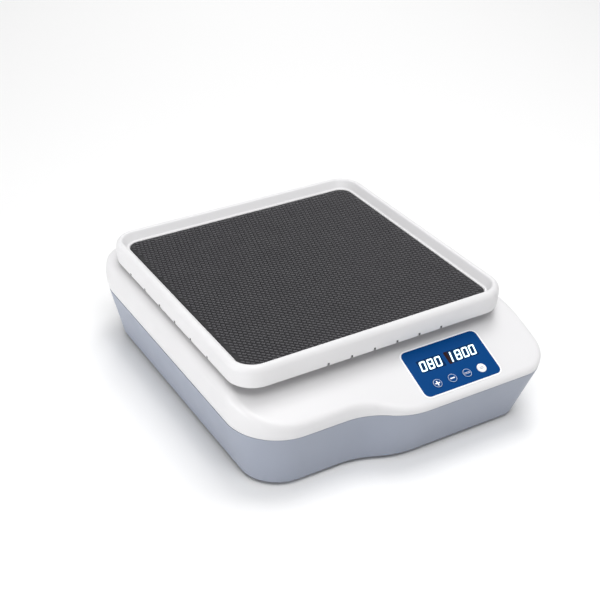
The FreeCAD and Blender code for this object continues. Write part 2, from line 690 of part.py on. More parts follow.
def make_panel():
    half_x, half_y, corner = S["panel_half_width"], S["panel_half_height"], S["panel_corner"]
    border = panel_sheet("border_form", 0, BORDER_THICK, half_x + BORDER_WIDTH,
                         half_y + BORDER_WIDTH, corner + BORDER_WIDTH)
    inside = panel_sheet("border_inside", -1, 3, half_x, half_y, corner)
    overlay = panel_sheet("panel_overlay", 0, OVERLAY_THICK, half_x, half_y, corner, True,
                          S["key_radius"] + 0.25)
    carrier_plate = panel_sheet("carrier_plate", -CARRIER_THICK, CARRIER_THICK, APERTURE_X - 0.1,
                                APERTURE_Y - 0.1, 2.9, True, S["key_radius"] + 0.3)
    pegs = [panel_peg("carrier_peg_%d" % i, x, y) for i, (x, y) in enumerate(PEG_SPOTS)]
    nodes = [cut("panel_frame", border, inside), overlay,
             fuse("panel_carrier", carrier_plate, *pegs),
             panel_sheet("display_board", BOARD_TOP - BOARD_THICK, BOARD_THICK, BOARD_HALF_X,
                         BOARD_HALF_Y, 1.5)]
    low_y = S["window_row"] - S["window_half_height"]
    high_y = S["window_row"] + S["window_half_height"]
    for name, (x, half) in DISPLAYS.items():
        for label, gap, low, high in ((name + "_window", 0.0, 0.0, OVERLAY_THICK),
                                      (name + "_display", 0.3, BOARD_TOP, -0.4)):
            body = new_body(label)
            sketch = new_sketch(body, label + "_edge", low)
            rounded_rectangle(sketch, x - half + gap, x + half - gap, low_y + gap, high_y - gap,
                              0.8)
            pad(body, sketch, high - low)
            nodes.append(panel_place(body))
    return nodes


def panel_peg(name, x, y):
    body = new_body(name)
    sketch = new_sketch(body, name + "_edge", BOARD_TOP)
    circle(sketch, x, y, PEG_RADIUS)
    pad(body, sketch, -CARRIER_THICK - BOARD_TOP)
    return panel_place(body)


def make_keys():
    """Round keys, each with a stem that stops just above its switch."""
    keys = []
    for name, x in zip(KEY_NAMES, KEY_X):
        body = new_body("key_" + name)
        cap = new_sketch(body, "key_cap_" + name, KEY_SHOULDER)
        circle(cap, x, S["key_row"], S["key_radius"])
        pad(body, cap, KEY_FACE - KEY_SHOULDER)
        stem = new_sketch(body, "key_stem_" + name, KEY_END)
        circle(stem, x, S["key_row"], KEY_STEM)
        pad(body, stem, KEY_SHOULDER - KEY_END)
        keys.append(panel_place(body))
    return keys


def make_tact_switches():
    switches = []
    for name, x in zip(KEY_NAMES, KEY_X):
        body = new_body("tact_" + name)
        case = new_sketch(body, "tact_case_" + name, BOARD_TOP)
        rounded_rectangle(case, x - TACT_HALF, x + TACT_HALF, S["key_row"] - TACT_HALF,
                          S["key_row"] + TACT_HALF, 0.3)
        pad(body, case, TACT_HIGH)
        plunger = new_sketch(body, "tact_plunger_" + name, BOARD_TOP + TACT_HIGH)
        circle(plunger, x, S["key_row"], PLUNGER_RADIUS)
        pad(body, plunger, PLUNGER_HIGH)
        switches.append(panel_place(body))
    return [group("tact_switches", switches)]


# ---------------------------------------------------------------- rear connectors

def make_rear():
    face = RECESS[2]
    back = Vector(0, 1, 0)
    barrel = cylinder("jack_barrel", JACK_RADIUS, 17, JACK_X, face - 14, JACK_Z, back)
    flange = cylinder("jack_flange", JACK_FLANGE, 1.6, JACK_X, face, JACK_Z, back)
    socket = cylinder("jack_socket", PLUG_RADIUS, 12, JACK_X, face - 8, JACK_Z, back)
    pin_hole = cylinder("jack_pin_hole", PIN_RADIUS, 4, JACK_X, face - 11, JACK_Z, back)
    jack = cut("dc_jack", fuse("jack_form", barrel, flange), socket, pin_hole)
    pin = cylinder("dc_jack_pin", PIN_RADIUS, 12, JACK_X, face - 11, JACK_Z, back)
    nut = cut("dc_jack_nut",
              cylinder("nut_form", JACK_NUT, 3.0, JACK_X, face - 3.0 - RECESS_WALL, JACK_Z, back),
              cylinder("nut_bore", JACK_RADIUS, 6, JACK_X, face - 7, JACK_Z, back))
    lip_x, lip_z = SWITCH_HALF_X + SWITCH_LIP, SWITCH_HALF_Z + SWITCH_LIP
    pivot_y = face - 0.5
    frame = fuse("switch_form",
                 block("switch_body", SWITCH_X - SWITCH_HALF_X, SWITCH_X + SWITCH_HALF_X, face - 11,
                       face + 0.5, SWITCH_Z - SWITCH_HALF_Z, SWITCH_Z + SWITCH_HALF_Z),
                 block("switch_flange", SWITCH_X - lip_x, SWITCH_X + lip_x, face, face + 1.8,
                       SWITCH_Z - lip_z, SWITCH_Z + lip_z))
    well = block("switch_well", SWITCH_X - WELL_HALF_X, SWITCH_X + WELL_HALF_X, face - 6.5, face + 3,
                 SWITCH_Z - WELL_HALF_Z, SWITCH_Z + WELL_HALF_Z)
    pivot = cylinder("switch_pivot_hole", STUB_RADIUS + S["running_gap"], 2 * STUB_REACH + 0.2,
                     SWITCH_X, pivot_y, SWITCH_Z - STUB_REACH - 0.1)
    return [jack, pin, nut, cut("switch_frame", frame, well, pivot), make_rocker(pivot_y)]


def make_rocker(pivot_y):
    """A rocker with a dished face and two stub pivots, resting on its switched-on side."""
    body = new_body("power_rocker")
    sketch = new_sketch(body, "rocker_face", -3.7)
    spots = ((-7.3, -3.0), (7.3, -3.0), (7.3, 3.4), (0.0, 2.0), (-7.3, 3.4))
    ids = [sketch.addGeometry(line(*spots[i], *spots[(i + 1) % 5]), False) for i in range(5)]
    for i in range(5):
        sketch.addConstraint(Sketcher.Constraint("Coincident", ids[i], 2, ids[(i + 1) % 5], 1))
        fix(sketch, "DistanceX", -1, 1, ids[i], 1, spots[i][0])
        fix(sketch, "DistanceY", -1, 1, ids[i], 1, spots[i][1])
    pad(body, sketch, 7.4)
    stub = new_sketch(body, "rocker_stub", -STUB_REACH)
    circle(stub, 0, 0, STUB_RADIUS)
    pad(body, stub, 2 * STUB_REACH)
    return put(body, SWITCH_X, pivot_y, SWITCH_Z, Rotation(Vector(0, 0, 1), ROCKER_TILT))


# ---------------------------------------------------------------- drive

def make_drive():
    """Crank shaft on two bearings, with pulley, crank disc, pin and counterweight."""
    y = S["orbit_y"]
    base = PLATE_TOP
    thick = S["bearing_thick"]
    tube = cylinder("housing_tube", DRIVE_TUBE, DRIVE_TOP - base, 0, y, base)
    flange = cylinder("housing_flange", DRIVE_FLANGE, DRIVE_FLANGE_THICK, 0, y, base)
    bore = cylinder("housing_bore", DRIVE_TUBE / 2, DRIVE_TOP, 0, y, 0)
    low_seat = cylinder("housing_low_seat", S["bearing_outer"], thick, 0, y, base)
    high_seat = cylinder("housing_high_seat", S["bearing_outer"], thick + 1, 0, y,
                         DRIVE_TOP - thick)
    screw_holes = [cylinder("housing_hole_%d" % i, M3, 20, sx, sy, 5)
                   for i, (sx, sy) in enumerate(plate_screw_spots()[4:])]
    nodes = [cut("drive_housing", fuse("housing_form", tube, flange), bore, low_seat, high_seat,
                 *screw_holes)]
    inner = S["bearing_inner"] + S["running_gap"]
    nodes.append(ring("drive_bearing_lower", S["bearing_outer"], inner, thick, 0, y, base))
    nodes.append(ring("drive_bearing_upper", S["bearing_outer"], inner, thick, 0, y,
                      DRIVE_TOP - thick))
    nodes.append(cylinder("drive_shaft", S["bearing_inner"], SHAFT_TOP - base - 0.5, 0, y,
                          base + 0.5))
    nodes.append(make_pulley("drive_pulley", S["big_pulley"], 60, S["bearing_inner"], 0, y))
    nodes += make_crank(y)
    return nodes


def make_pulley(label, pitch, teeth, bore, x, y):
    """A toothed pulley with two flanges; its tooth tips stand just inside the belt."""
    body = new_body(label)
    tip = pitch - TOOTH
    rim = new_sketch(body, label + "_rim", S["belt_low"] - 0.1)
    circle(rim, 0, 0, tip)
    pad(body, rim, S["belt_width"] + 0.2)
    groove = new_sketch(body, label + "_groove", S["belt_low"] - 0.1)
    circle(groove, tip, 0, pitch * (0.24 * 2 * math.pi / teeth))
    cut_one = pocket(body, groove, S["belt_width"] + 0.2, upward=True)
    pattern = body.newObject("PartDesign::PolarPattern", label + "_teeth")
    pattern.Originals = [cut_one]
    axis = [item for item in body.Origin.OriginFeatures if item.Role == "Z_Axis"][0]
    pattern.Axis = (axis, [""])
    pattern.Angle = 360
    pattern.Occurrences = teeth
    body.Tip = pattern
    DOC.recompute()
    for name, low in (("low", S["belt_low"] - 1.0), ("high", S["belt_low"] + S["belt_width"] + 0.1)):
        flange = new_sketch(body, "%s_flange_%s" % (label, name), low)
        circle(flange, 0, 0, pitch + 2.0)
        pad(body, flange, 0.9)
    hole = new_sketch(body, label + "_bore", S["belt_low"] - 2)
    circle(hole, 0, 0, bore)
    pocket(body, hole, S["belt_width"] + 4, upward=True)
    return put(body, x, y, 0)


def make_crank(y):
    pin_x, pin_y = REST_X, y + REST_Y
    pin_seat = DISC_LOW + PIN_SEAT
    disc = cylinder("disc_form", DISC_RADIUS, DISC_THICK, 0, y, DISC_LOW)
    shaft_hole = cylinder("disc_shaft_hole", S["bearing_inner"], SHAFT_TOP - DISC_LOW + 1, 0, y,
                          DISC_LOW - 1)
    pin_hole = cylinder("disc_pin_hole", S["bearing_inner"], 10, pin_x, pin_y, pin_seat)
    pin = cylinder("crank_pin", S["bearing_inner"], CRANK_TOP - pin_seat, pin_x, pin_y, pin_seat)
    weight = new_body("counterweight")
    sector = new_sketch(weight, "counterweight_sector", DISC_LOW)
    inner, outer, half = DISC_RADIUS, WEIGHT_RADIUS, WEIGHT_HALF_ANGLE
    ids = [sector.addGeometry(piece, False) for piece in (
        arc(0, 0, outer, -half, half),
        line(*polar(outer, half), *polar(inner, half)),
        arc(0, 0, inner, -half, half),
        line(*polar(inner, -half), *polar(outer, -half)))]
    for a, b in (((0, 2), (1, 1)), ((1, 2), (2, 2)), ((2, 1), (3, 1)), ((3, 2), (0, 1))):
        sector.addConstraint(Sketcher.Constraint("Coincident", ids[a[0]], a[1], ids[b[0]], b[1]))
    for index in (0, 2):
        sector.addConstraint(Sketcher.Constraint("Coincident", ids[index], 3, -1, 1))
    fix(sector, "Radius", ids[0], outer)
    fix(sector, "Radius", ids[2], inner)
    pad(weight, sector, DISC_THICK)
    put(weight, 0, y, 0, Rotation(Vector(0, 0, 1), S["rest_angle"].number + 180))
    return [cut("crank_disc", disc, shaft_hole, pin_hole), pin, weight]


def polar(radius, degrees):
    return radius * math.cos(math.radians(degrees)), radius * math.sin(math.radians(degrees))


def make_motor():
    """Motor hung under a bracket, with its own toothed pulley and the belt."""
    y = S["orbit_y"] + S["motor_back"]
    can = cylinder("motor_can", MOTOR_RADIUS, MOTOR_TOP - MOTOR_LOW, 0, y, MOTOR_LOW)
    boss = cylinder("motor_boss", MOTOR_BOSS, 3, 0, y, MOTOR_TOP)
    bore = cylinder("motor_bore", MOTOR_SHAFT + S["running_gap"], 60, 0, y, MOTOR_LOW + 3)
    nodes = [cut("motor_body", fuse("motor_form", can, boss), bore)]
    nodes.append(cylinder("motor_shaft", MOTOR_SHAFT, 51, 0, y, MOTOR_LOW + 4))
    nodes.append(make_pulley("motor_pulley", S["small_pulley"], 20, MOTOR_SHAFT, 0, y))
    nodes.append(make_bracket(y))
    nodes.append(make_belt())
    screws = []
    for i, (x, spot_y) in enumerate(plate_screw_spots()):
        long, sheet = (4.4, BRACKET_SHEET) if i < 4 else (6.4, DRIVE_FLANGE_THICK)
        screws.append(pan_head_screw("plate_screw_%d" % i, M3, long, x, spot_y, PLATE_TOP + sheet,
                                     up=False))
    nodes.append(group("plate_screws", screws))
    return nodes


def make_bracket(y):
    """A bent sheet: a top that carries the motor, two walls and two feet."""
    half_x, front, back, top = BRACKET_HALF_X, y - BRACKET_HALF_Y, y + BRACKET_HALF_Y, MOTOR_TOP + 3
    parts = [block("bracket_top", -half_x, half_x, front, back, MOTOR_TOP, top)]
    for side in (-1, 1):
        wall_x = sorted((side * (half_x - BRACKET_SHEET), side * half_x))
        foot_x = sorted((side * (half_x - BRACKET_SHEET), side * BRACKET_FOOT))
        parts.append(block("bracket_wall_%d" % side, *wall_x, front, back, PLATE_TOP, top))
        parts.append(block("bracket_foot_%d" % side, *foot_x, front, back, PLATE_TOP,
                           PLATE_TOP + BRACKET_SHEET))
    holes = [cylinder("bracket_boss_hole", MOTOR_BOSS, 10, 0, y, MOTOR_TOP - 2)]
    for i, (x, foot_y) in enumerate(plate_screw_spots()[:4]):
        holes.append(cylinder("bracket_foot_hole_%d" % i, M3, 10, x, foot_y, 8))
    return cut("motor_bracket", fuse("bracket_form", *parts), *holes)


def make_belt():
    """A belt tight round both pulleys: two straight runs and two arcs."""
    solids = []
    for name, grow in (("belt_outside", BELT_GAP + BELT_THICK), ("belt_inside", BELT_GAP)):
        body = new_body(name)
        sketch = new_sketch(body, name + "_edge", S["belt_low"])
        big = S["big_pulley"] - TOOTH + grow
        small = S["small_pulley"] - TOOTH + grow
        span = S["motor_back"]
        lean = math.degrees(math.asin((big.number - small.number) / span.number))
        b, s, d = big.number, small.number, span.number
        bx, by = polar(b, lean)
        sx, sy = polar(s, lean)
        ids = [sketch.addGeometry(piece, False) for piece in (
            arc(0, 0, b, 180 - lean, 360 + lean), line(bx, by, sx, d + sy),
            arc(0, d, s, lean, 180 - lean), line(-sx, d + sy, -bx, by))]
        join_tangent(sketch, ids, [FORWARD] * 4)
        sketch.addConstraint(Sketcher.Constraint("Coincident", ids[0], 3, -1, 1))
        fix(sketch, "DistanceX", -1, 1, ids[2], 3, 0)
        fix(sketch, "DistanceY", -1, 1, ids[2], 3, span)
        fix(sketch, "Radius", ids[0], big)
        fix(sketch, "Radius", ids[2], small)
        pad(body, sketch, S["belt_width"])
        solids.append(put(body, 0, S["orbit_y"], 0))
    return cut("drive_belt", *solids)


# ---------------------------------------------------------------- idlers and platform

def make_idlers():
    """Four posts, their bearings, and the idler cranks that keep the platform square."""
    thick, inner = S["small_thick"], S["small_inner"]
    posts, bearings, cranks = [], [], []
    for name, (x, y) in zip(IDLER_NAMES, idler_spots()):
        column = cylinder("post_column_" + name, POST_RADIUS, POST_TOP - PLATE_TOP, x, y,
                          PLATE_TOP)
        flange = cylinder("post_flange_" + name, POST_FLANGE, 3, x, y, PLATE_TOP)
        seat = cylinder("post_seat_" + name, S["small_outer"], thick + 1, x, y, POST_TOP - thick)
        well = cylinder("post_well_" + name, 6, 14, x, y, POST_TOP - thick - 10)
        posts.append(cut("post_" + name, fuse("post_form_" + name, column, flange), seat, well))
        bearings.append(ring("bearing_" + name, S["small_outer"], inner + S["running_gap"],
                             thick, x, y, POST_TOP - thick))
        cranks.append(make_idler_crank(name, x, y, POST_TOP + 1.0))
    return [group("idler_posts", posts), group("idler_bearings", bearings)] + cranks


def make_idler_crank(name, x, y, web_low):
    lower = cylinder("idler_lower_" + name, S["small_inner"], JOURNAL_LONG + 1, x, y,
                     web_low - JOURNAL_LONG)
    upper = cylinder("idler_upper_" + name, S["small_inner"], CRANK_TOP - web_low - 1, x + REST_X,
                     y + REST_Y, web_low + 1)
    web = new_body("idler_web_" + name)
    sketch = new_sketch(web, "idler_web_edge_" + name, web_low)
    throw, end = S["orbit_radius"], WEB_END
    t = throw.number
    ids = [sketch.addGeometry(piece, False) for piece in (
        arc(0, 0, end, 90, 270), line(0, -end, t, -end), arc(t, 0, end, 270, 450),
        line(t, end, 0, end))]
    join_tangent(sketch, ids, [FORWARD] * 4)
    sketch.addConstraint(Sketcher.Constraint("Coincident", ids[0], 3, -1, 1))
    fix(sketch, "DistanceX", -1, 1, ids[2], 3, throw)
    fix(sketch, "DistanceY", -1, 1, ids[2], 3, 0)
    fix(sketch, "Radius", ids[0], end)
    pad(web, sketch, WEB_THICK)
    put(web, x, y, 0, Rotation(Vector(0, 0, 1), S["rest_angle"].number))
    return fuse("idler_crank_" + name, web, lower, upper)


def make_platform():
    """Cast plate under the tray that holds the crank pin's and the idlers' bearings."""
    top = S["tray_floor"] - S["floor_thick"]
    low = top - PLATFORM_THICK
    plate = new_body("plate_form")
    sketch = new_sketch(plate, "plate_edge", low)
    half = PLATFORM_HALF
    rounded_rectangle(sketch, -half, half, -half, half, PLATFORM_CORNER)
    for x, y in LIGHTENING_SPOTS:
        circle(sketch, x, y, LIGHTENING_RADIUS)
    for x, y in TRAY_SCREWS:
        circle(sketch, x, y, M3)
    pad(plate, sketch, top - low)
    put(plate, TRAY_X, TRAY_Y, 0)
    cups = [cylinder("hub_form", HUB_RADIUS, S["bearing_thick"] + 0.5, TRAY_X, TRAY_Y,
                     low - S["bearing_thick"])]
    seats = [cylinder("hub_seat", S["bearing_outer"], S["bearing_thick"] + 1, TRAY_X, TRAY_Y,
                      low - S["bearing_thick"] - 1)]
    bearings = []
    thick = S["small_thick"]
    for name, (x, y) in zip(IDLER_NAMES, idler_spots()):
        at_x, at_y = x + REST_X, y + REST_Y
        cups.append(cylinder("cup_" + name, POST_RADIUS, thick + 0.5, at_x, at_y, low - thick))
        seats.append(cylinder("cup_seat_" + name, S["small_outer"], thick + 1, at_x, at_y,
                              low - thick - 1))
        bearings.append(ring("upper_bearing_" + name, S["small_outer"],
                             S["small_inner"] + S["running_gap"], thick, at_x, at_y, low - thick))
    hub_bearing = ring("crank_pin_bearing", S["bearing_outer"],
                       S["bearing_inner"] + S["running_gap"], S["bearing_thick"], TRAY_X, TRAY_Y,
                       low - S["bearing_thick"])
    platform = cut("platform_plate", fuse("platform_form", plate, *cups), *seats)
    return [platform, hub_bearing, group("platform_bearings", bearings)]


def make_tray():
    """Square tray: a low rounded rim above its floor and a skirt with notches below."""
    half, corner = S["tray_half"], S["tray_corner"]
    body = new_body("tray_form")
    edge = new_sketch(body, "tray_edge", S["skirt_bottom"])
    rounded_rectangle(edge, -half, half, -half, half, corner)
    pad(body, edge, S["tray_top"] - S["skirt_bottom"])
    recess = new_sketch(body, "tray_recess", S["tray_ledge"])
    inside = half - S["rim_width"]
    rounded_rectangle(recess, -inside, inside, -inside, inside, corner - S["rim_width"])
    pocket(body, recess, S["tray_top"] - S["tray_ledge"], upward=True)
    seat = new_sketch(body, "mat_seat", S["tray_floor"])
    around = S["mat_half"] + MAT_PLAY
    rounded_rectangle(seat, -around, around, -around, around, S["mat_corner"] + MAT_PLAY)
    pocket(body, seat, S["tray_ledge"] - S["tray_floor"], upward=True)
    under = new_sketch(body, "tray_under", S["tray_floor"] - S["floor_thick"])
    hollow = half - S["skirt_wall"]
    rounded_rectangle(under, -hollow, hollow, -hollow, hollow, corner - S["skirt_wall"])
    pocket(body, under, S["tray_floor"] - S["floor_thick"] - S["skirt_bottom"])
    top = S["tray_top"].number
    for radius, outside in ((RIM_ROUND_OUTSIDE, True), (RIM_ROUND_INSIDE, False)):
        fillet(body, radius, lambda edge, outside=outside: edge.BoundBox.ZMin > top - 0.01
               and at_rim(edge, outside))
    put(body, TRAY_X, TRAY_Y, 0)
    notches = notch_tools()
    for i, (x, y) in enumerate(TRAY_SCREWS):
        notches.append(cylinder("tray_hole_%d" % i, M3, 20, TRAY_X + x, TRAY_Y + y, 100))
        notches.append(cone("tray_sink_%d" % i, M3, SINK_RADIUS, SINK_DEPTH, TRAY_X + x, TRAY_Y + y,
                            S["tray_floor"] - SINK_DEPTH))
    tray = cut("tray", body, *notches)
    mat = new_body("anti_slip_mat")
    sheet = new_sketch(mat, "mat_edge", S["tray_floor"])
    rounded_rectangle(sheet, -S["mat_half"], S["mat_half"], -S["mat_half"], S["mat_half"],
                      S["mat_corner"])
    pad(mat, sheet, S["mat_thick"])
    put(mat, TRAY_X, TRAY_Y, 0)
    screws = []
    for i, (x, y) in enumerate(TRAY_SCREWS):
        shank = cylinder("tray_shank_%d" % i, M3, 6.0, TRAY_X + x, TRAY_Y + y,
                         S["tray_floor"] - 6.0)
        head = cone("tray_head_%d" % i, M3, SINK_RADIUS, SINK_DEPTH, TRAY_X + x, TRAY_Y + y,
                    S["tray_floor"] - SINK_DEPTH)
        screws.append(fuse("tray_screw_%d" % i, shank, head))
    return [tray, mat, group("tray_screws", screws)]


def notch_tools():
    """The blocks that cut the notches in the lower edge of the tray's skirt."""
    half_width, depth = NOTCH_WIDTH / 2, 5
    low, high = S["skirt_bottom"] - 1, S["skirt_bottom"] + NOTCH_HEIGHT
    tools = []
    for i in range(NOTCH_COUNT):
        for side in (-1, 1):
            along = TRAY_X + NOTCH_PITCH_X * (i - 2.5) + NOTCH_SHIFT
            edge = TRAY_Y + side * S["tray_half"]
            tools.append(block("notch_x_%d_%d" % (i, side), along - half_width, along + half_width,
                               edge - depth, edge + depth, low, high))
            along = TRAY_Y + NOTCH_PITCH_Y * (i - 2.5) + NOTCH_SHIFT
            edge = TRAY_X + side * S["tray_half"]
            tools.append(block("notch_y_%d_%d" % (i, side), edge - depth, edge + depth,
                               along - half_width, along + half_width, low, high))
    return tools


def at_rim(edge, outside):
    """Whether a top edge belongs to the outside of the tray's rim or to its inside."""
    middle = edge.valueAt((edge.FirstParameter + edge.LastParameter) / 2)
    half = S["tray_half"].number
    depth = max(abs(middle.x), abs(middle.y))
    corner = S["tray_corner"].number * (1 - math.cos(math.radians(45)))
    on_corner = abs(abs(middle.x) - abs(middle.y)) < 20 and depth > half * 0.8
    outer = depth > half - 0.1 or (on_corner and depth > half - corner - 0.5)
    return outer == outside


# ---------------------------------------------------------------- electronics

def make_electronics():
    """Motor driver board on four spacers, with heat sink and capacitors."""
    x0, x1, y0, y1 = BOARD_EDGE
    spacer_top = PLATE_TOP + SPACER_HIGH
    top = spacer_top + BOARD_THICK
    board = block("control_board", x0, x1, y0, y1, spacer_top, top)
    spots = [(x, y) for x in (x0 + 4, x1 - 4) for y in (y0 + 4, y1 - 4)]
    spacers = [cylinder("spacer_%d" % i, SPACER_RADIUS, SPACER_HIGH, x, y, PLATE_TOP)
               for i, (x, y) in enumerate(spots)]
    sink_x, sink_y, pitch = 60, (-40, -8), 4
    fins = [block("fin_%d" % i, sink_x + pitch * i, sink_x + pitch * i + 1.5, *sink_y, top + 3,
                  top + 20) for i in range(8)]
    sink = fuse("heat_sink", block("sink_base", sink_x, sink_x + 29.5, *sink_y, top, top + 3.5),
                *fins)
    cans = [cylinder("capacitor_%d" % i, radius, high, x, y, top)
            for i, (x, y, radius, high) in enumerate(CAPACITORS)]
    return [board, group("board_spacers", spacers), sink, group("capacitors", cans)]


# ---------------------------------------------------------------- assembly and files

def make_all():
    nodes = [make_top_cover(), make_lower_housing(), make_base_plate()]
    nodes += make_feet() + make_casing_screws() + make_panel() + make_keys()
    nodes += make_tact_switches() + make_rear() + make_drive() + make_motor()
    nodes += make_idlers() + make_platform() + make_tray() + make_electronics()
    return nodes


def check(nodes):
    """Stops on any failed object or broken shape, before a file is written."""
    for item in DOC.Objects:
        if "Invalid" in item.State or "Error" in item.State:
            raise RuntimeError("%s is %s" % (item.Label, item.State))
    for node in nodes:
        if node.Shape.isNull() or not node.Shape.isValid() or not node.Shape.Solids:
            raise RuntimeError("%s has no valid solid" % node.Label)


def write(nodes):
    os.makedirs("parts", exist_ok=True)
    for node in nodes:
        node.Shape.exportStep("parts/%s.step" % node.Label)


NODES = make_all()
DOC.recompute()
check(NODES)
write(NODES)
print("%d nodes" % len(NODES))
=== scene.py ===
import json
import math

import bmesh
import bpy
import numpy as np
from mathutils import Matrix, Vector
from mathutils.geometry import delaunay_2d_cdt


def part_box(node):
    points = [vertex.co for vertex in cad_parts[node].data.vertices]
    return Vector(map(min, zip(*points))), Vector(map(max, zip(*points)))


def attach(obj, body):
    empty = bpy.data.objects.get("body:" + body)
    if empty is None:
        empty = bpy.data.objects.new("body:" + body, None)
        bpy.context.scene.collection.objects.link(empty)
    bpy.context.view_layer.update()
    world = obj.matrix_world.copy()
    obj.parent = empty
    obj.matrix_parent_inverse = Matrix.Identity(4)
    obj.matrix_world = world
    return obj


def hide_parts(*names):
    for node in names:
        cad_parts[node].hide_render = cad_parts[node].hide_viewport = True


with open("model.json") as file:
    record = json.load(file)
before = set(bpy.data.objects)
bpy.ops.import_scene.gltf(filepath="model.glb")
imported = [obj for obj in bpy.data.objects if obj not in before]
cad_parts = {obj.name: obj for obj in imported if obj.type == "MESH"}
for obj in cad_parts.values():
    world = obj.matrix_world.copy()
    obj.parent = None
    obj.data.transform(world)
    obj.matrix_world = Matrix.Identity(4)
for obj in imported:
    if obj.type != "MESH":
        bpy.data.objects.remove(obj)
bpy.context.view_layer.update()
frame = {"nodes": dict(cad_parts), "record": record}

# Orbital shaker, metres, in the frame of the CAD model: +X right, +Y rear, +Z up.

# ---------------------------------------------------------------- sizes

COVER_LOW, COVER_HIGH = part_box("top_cover")
HALF_WIDTH = COVER_HIGH.x
REAR_EDGE = COVER_HIGH.y
FRONT_RIGHT_EDGE = 0.17514
FRONT_LEFT_EDGE = 0.15274
WAVE_START, WAVE_END = -0.056, 0.013
CORNER_FRONT_LEFT = 0.051
CORNER_FRONT_RIGHT = 0.0275
CORNER_REAR = 0.0277

PARTING = COVER_LOW.z                   # joint between lower housing and top cover
WIDEST = PARTING + 0.014                # height where the cover is widest
COVER_TOP = COVER_HIGH.z
BULGE = 0.002                           # the widest line stands out this far past the parting line
BULGE_POWER = 1.6
SHOULDER = 0.0165                       # plan width of the cover's shoulder
SHOULDER_POWER = 3.1                    # 2 would make the shoulder an ellipse; more is boxier
LIP = 0.0007                            # radius of the cover's lower edge
EDGE_ROUND = 0.004                      # rounding between the cover's wall and its slope
SHELL_WALL = 0.0025

SLOPE_ANGLE = math.radians(22.8)
SLOPE_FOOT = 0.065                      # height of the slope's plane at y = -REAR_EDGE
SLOPE_BLEND = 0.060                     # radius between flat top and slope
CREASE_Y = (COVER_TOP - SLOPE_FOOT) / math.tan(SLOPE_ANGLE) - REAR_EDGE
FLAT_FRONT = CREASE_Y + SLOPE_BLEND * math.tan(SLOPE_ANGLE / 2)
SLOPE_BACK = FLAT_FRONT - SLOPE_BLEND * math.sin(SLOPE_ANGLE)

PANEL_X = sum(corner.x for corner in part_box("panel_overlay")) / 2
PANEL_UP = 0.03135
PANEL = Vector((PANEL_X, PANEL_UP * math.cos(SLOPE_ANGLE) - REAR_EDGE,
                SLOPE_FOOT + PANEL_UP * math.sin(SLOPE_ANGLE)))
PANEL_TILT = Matrix.Rotation(SLOPE_ANGLE, 4, "X")
APERTURE = (0.0374, 0.0214, 0.003)      # half width, half height and corner of the hole in the cover
OVERLAY_FACE = 0.0007                   # the overlay's face above the slope
KEY_FACE = 0.0011                       # the keys' faces above the slope

TRAY_LOW, TRAY_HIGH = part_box("tray")
TRAY_MIDDLE = (TRAY_LOW + TRAY_HIGH) / 2
TRAY_HALF = (TRAY_HIGH.x - TRAY_LOW.x) / 2
TRAY_CORNER = 0.025
RIM_ACROSS, RIM_UP = 0.0044, 0.0062     # the rim's outer rounding: plan width and height
RIM_BROW, RIM_FOOT = 0.0028, 0.0024     # radii at the top and the foot of the rim's inner wall
RIM_LEAN = math.radians(60)
SKIRT_WALL = 0.0032
SKIRT_FLARE = 0.0007                    # how far the skirt's lower edge stands in
UNDERSIDE_EDGE = 0.0065                 # inset where the flat underside ends
TRAY_CENTRE = 0.026                     # inset where one face closes the floor, above and below
NOTCH_COUNT = 6
NOTCH_WIDTH = 0.0022
NOTCH_HEIGHT = 0.0030
NOTCH_DEPTH = 0.0065
NOTCH_PITCH_X, NOTCH_PITCH_Y = 0.0230, 0.0321
NOTCH_SHIFT = 0.0045                    # the notches stand this far right of, or behind, the middle
MAT_LOW, MAT_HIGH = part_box("anti_slip_mat")
MAT_HALF = (MAT_HIGH.x - MAT_LOW.x) / 2
MAT_CORNER = 0.012
RIB_HIGH = 0.0009                       # height of the mat's ribs

IDLER_SPREAD = 0.085                    # idler axes from the drive axis, along x and along y
IDLER_JOURNAL = 0.004
CRANK_HOLE_GAP, IDLER_HOLE_GAP = 0.002, 0.0025      # room round the circling pins

DIGIT_HIGH, DIGIT_WIDE, DIGIT_STROKE, DIGIT_SLANT = 0.0101, 0.0059, 0.00120, 0.19
DIGITS_Y = 0.0055
SEGMENTS = {"0": "abcdef", "1": "bc", "8": "abcdefg"}
READINGS = {"speed": (("0", -0.0260), ("8", -0.0180), ("0", -0.0100)),
            "time": (("1", 0.0016), ("8", 0.0113), ("0", 0.0191), ("0", 0.0267))}
KEY_ROW = -0.0143                       # key centres below the middle of the panel
SINK = 0.0001                           # every print starts this far below the face it lies on

# ---------------------------------------------------------------- meshes

def add_mesh(name, points, faces, smooth=True):
    mesh = bpy.data.meshes.new(name)
    mesh.from_pydata([tuple(p) for p in points], [], [tuple(f) for f in faces])
    mesh.validate()
    for polygon in mesh.polygons:
        polygon.use_smooth = smooth
    piece = bpy.data.objects.new(name, mesh)
    bpy.context.scene.collection.objects.link(piece)
    return piece


def apply_modifier(piece, kind, **settings):
    """Adds one modifier, sets it and applies it to the mesh."""
    modifier = piece.modifiers.new(kind.lower(), kind)
    for key, value in settings.items():
        setattr(modifier, key, value)
    depsgraph = bpy.context.evaluated_depsgraph_get()
    mesh = bpy.data.meshes.new_from_object(piece.evaluated_get(depsgraph))
    piece.modifiers.clear()
    old = piece.data
    piece.data = mesh
    bpy.data.meshes.remove(old)
    return piece


def sharpen(piece, degrees=35):
    """Marks the edges that turn more than an angle as sharp, so that smooth shading stops there."""
    edit = bmesh.new()
    edit.from_mesh(piece.data)
    limit = math.radians(degrees)
    for edge in edit.edges:
        edge.smooth = len(edge.link_faces) == 2 and edge.calc_face_angle(0) < limit
    edit.to_mesh(piece.data)
    edit.free()
    return piece


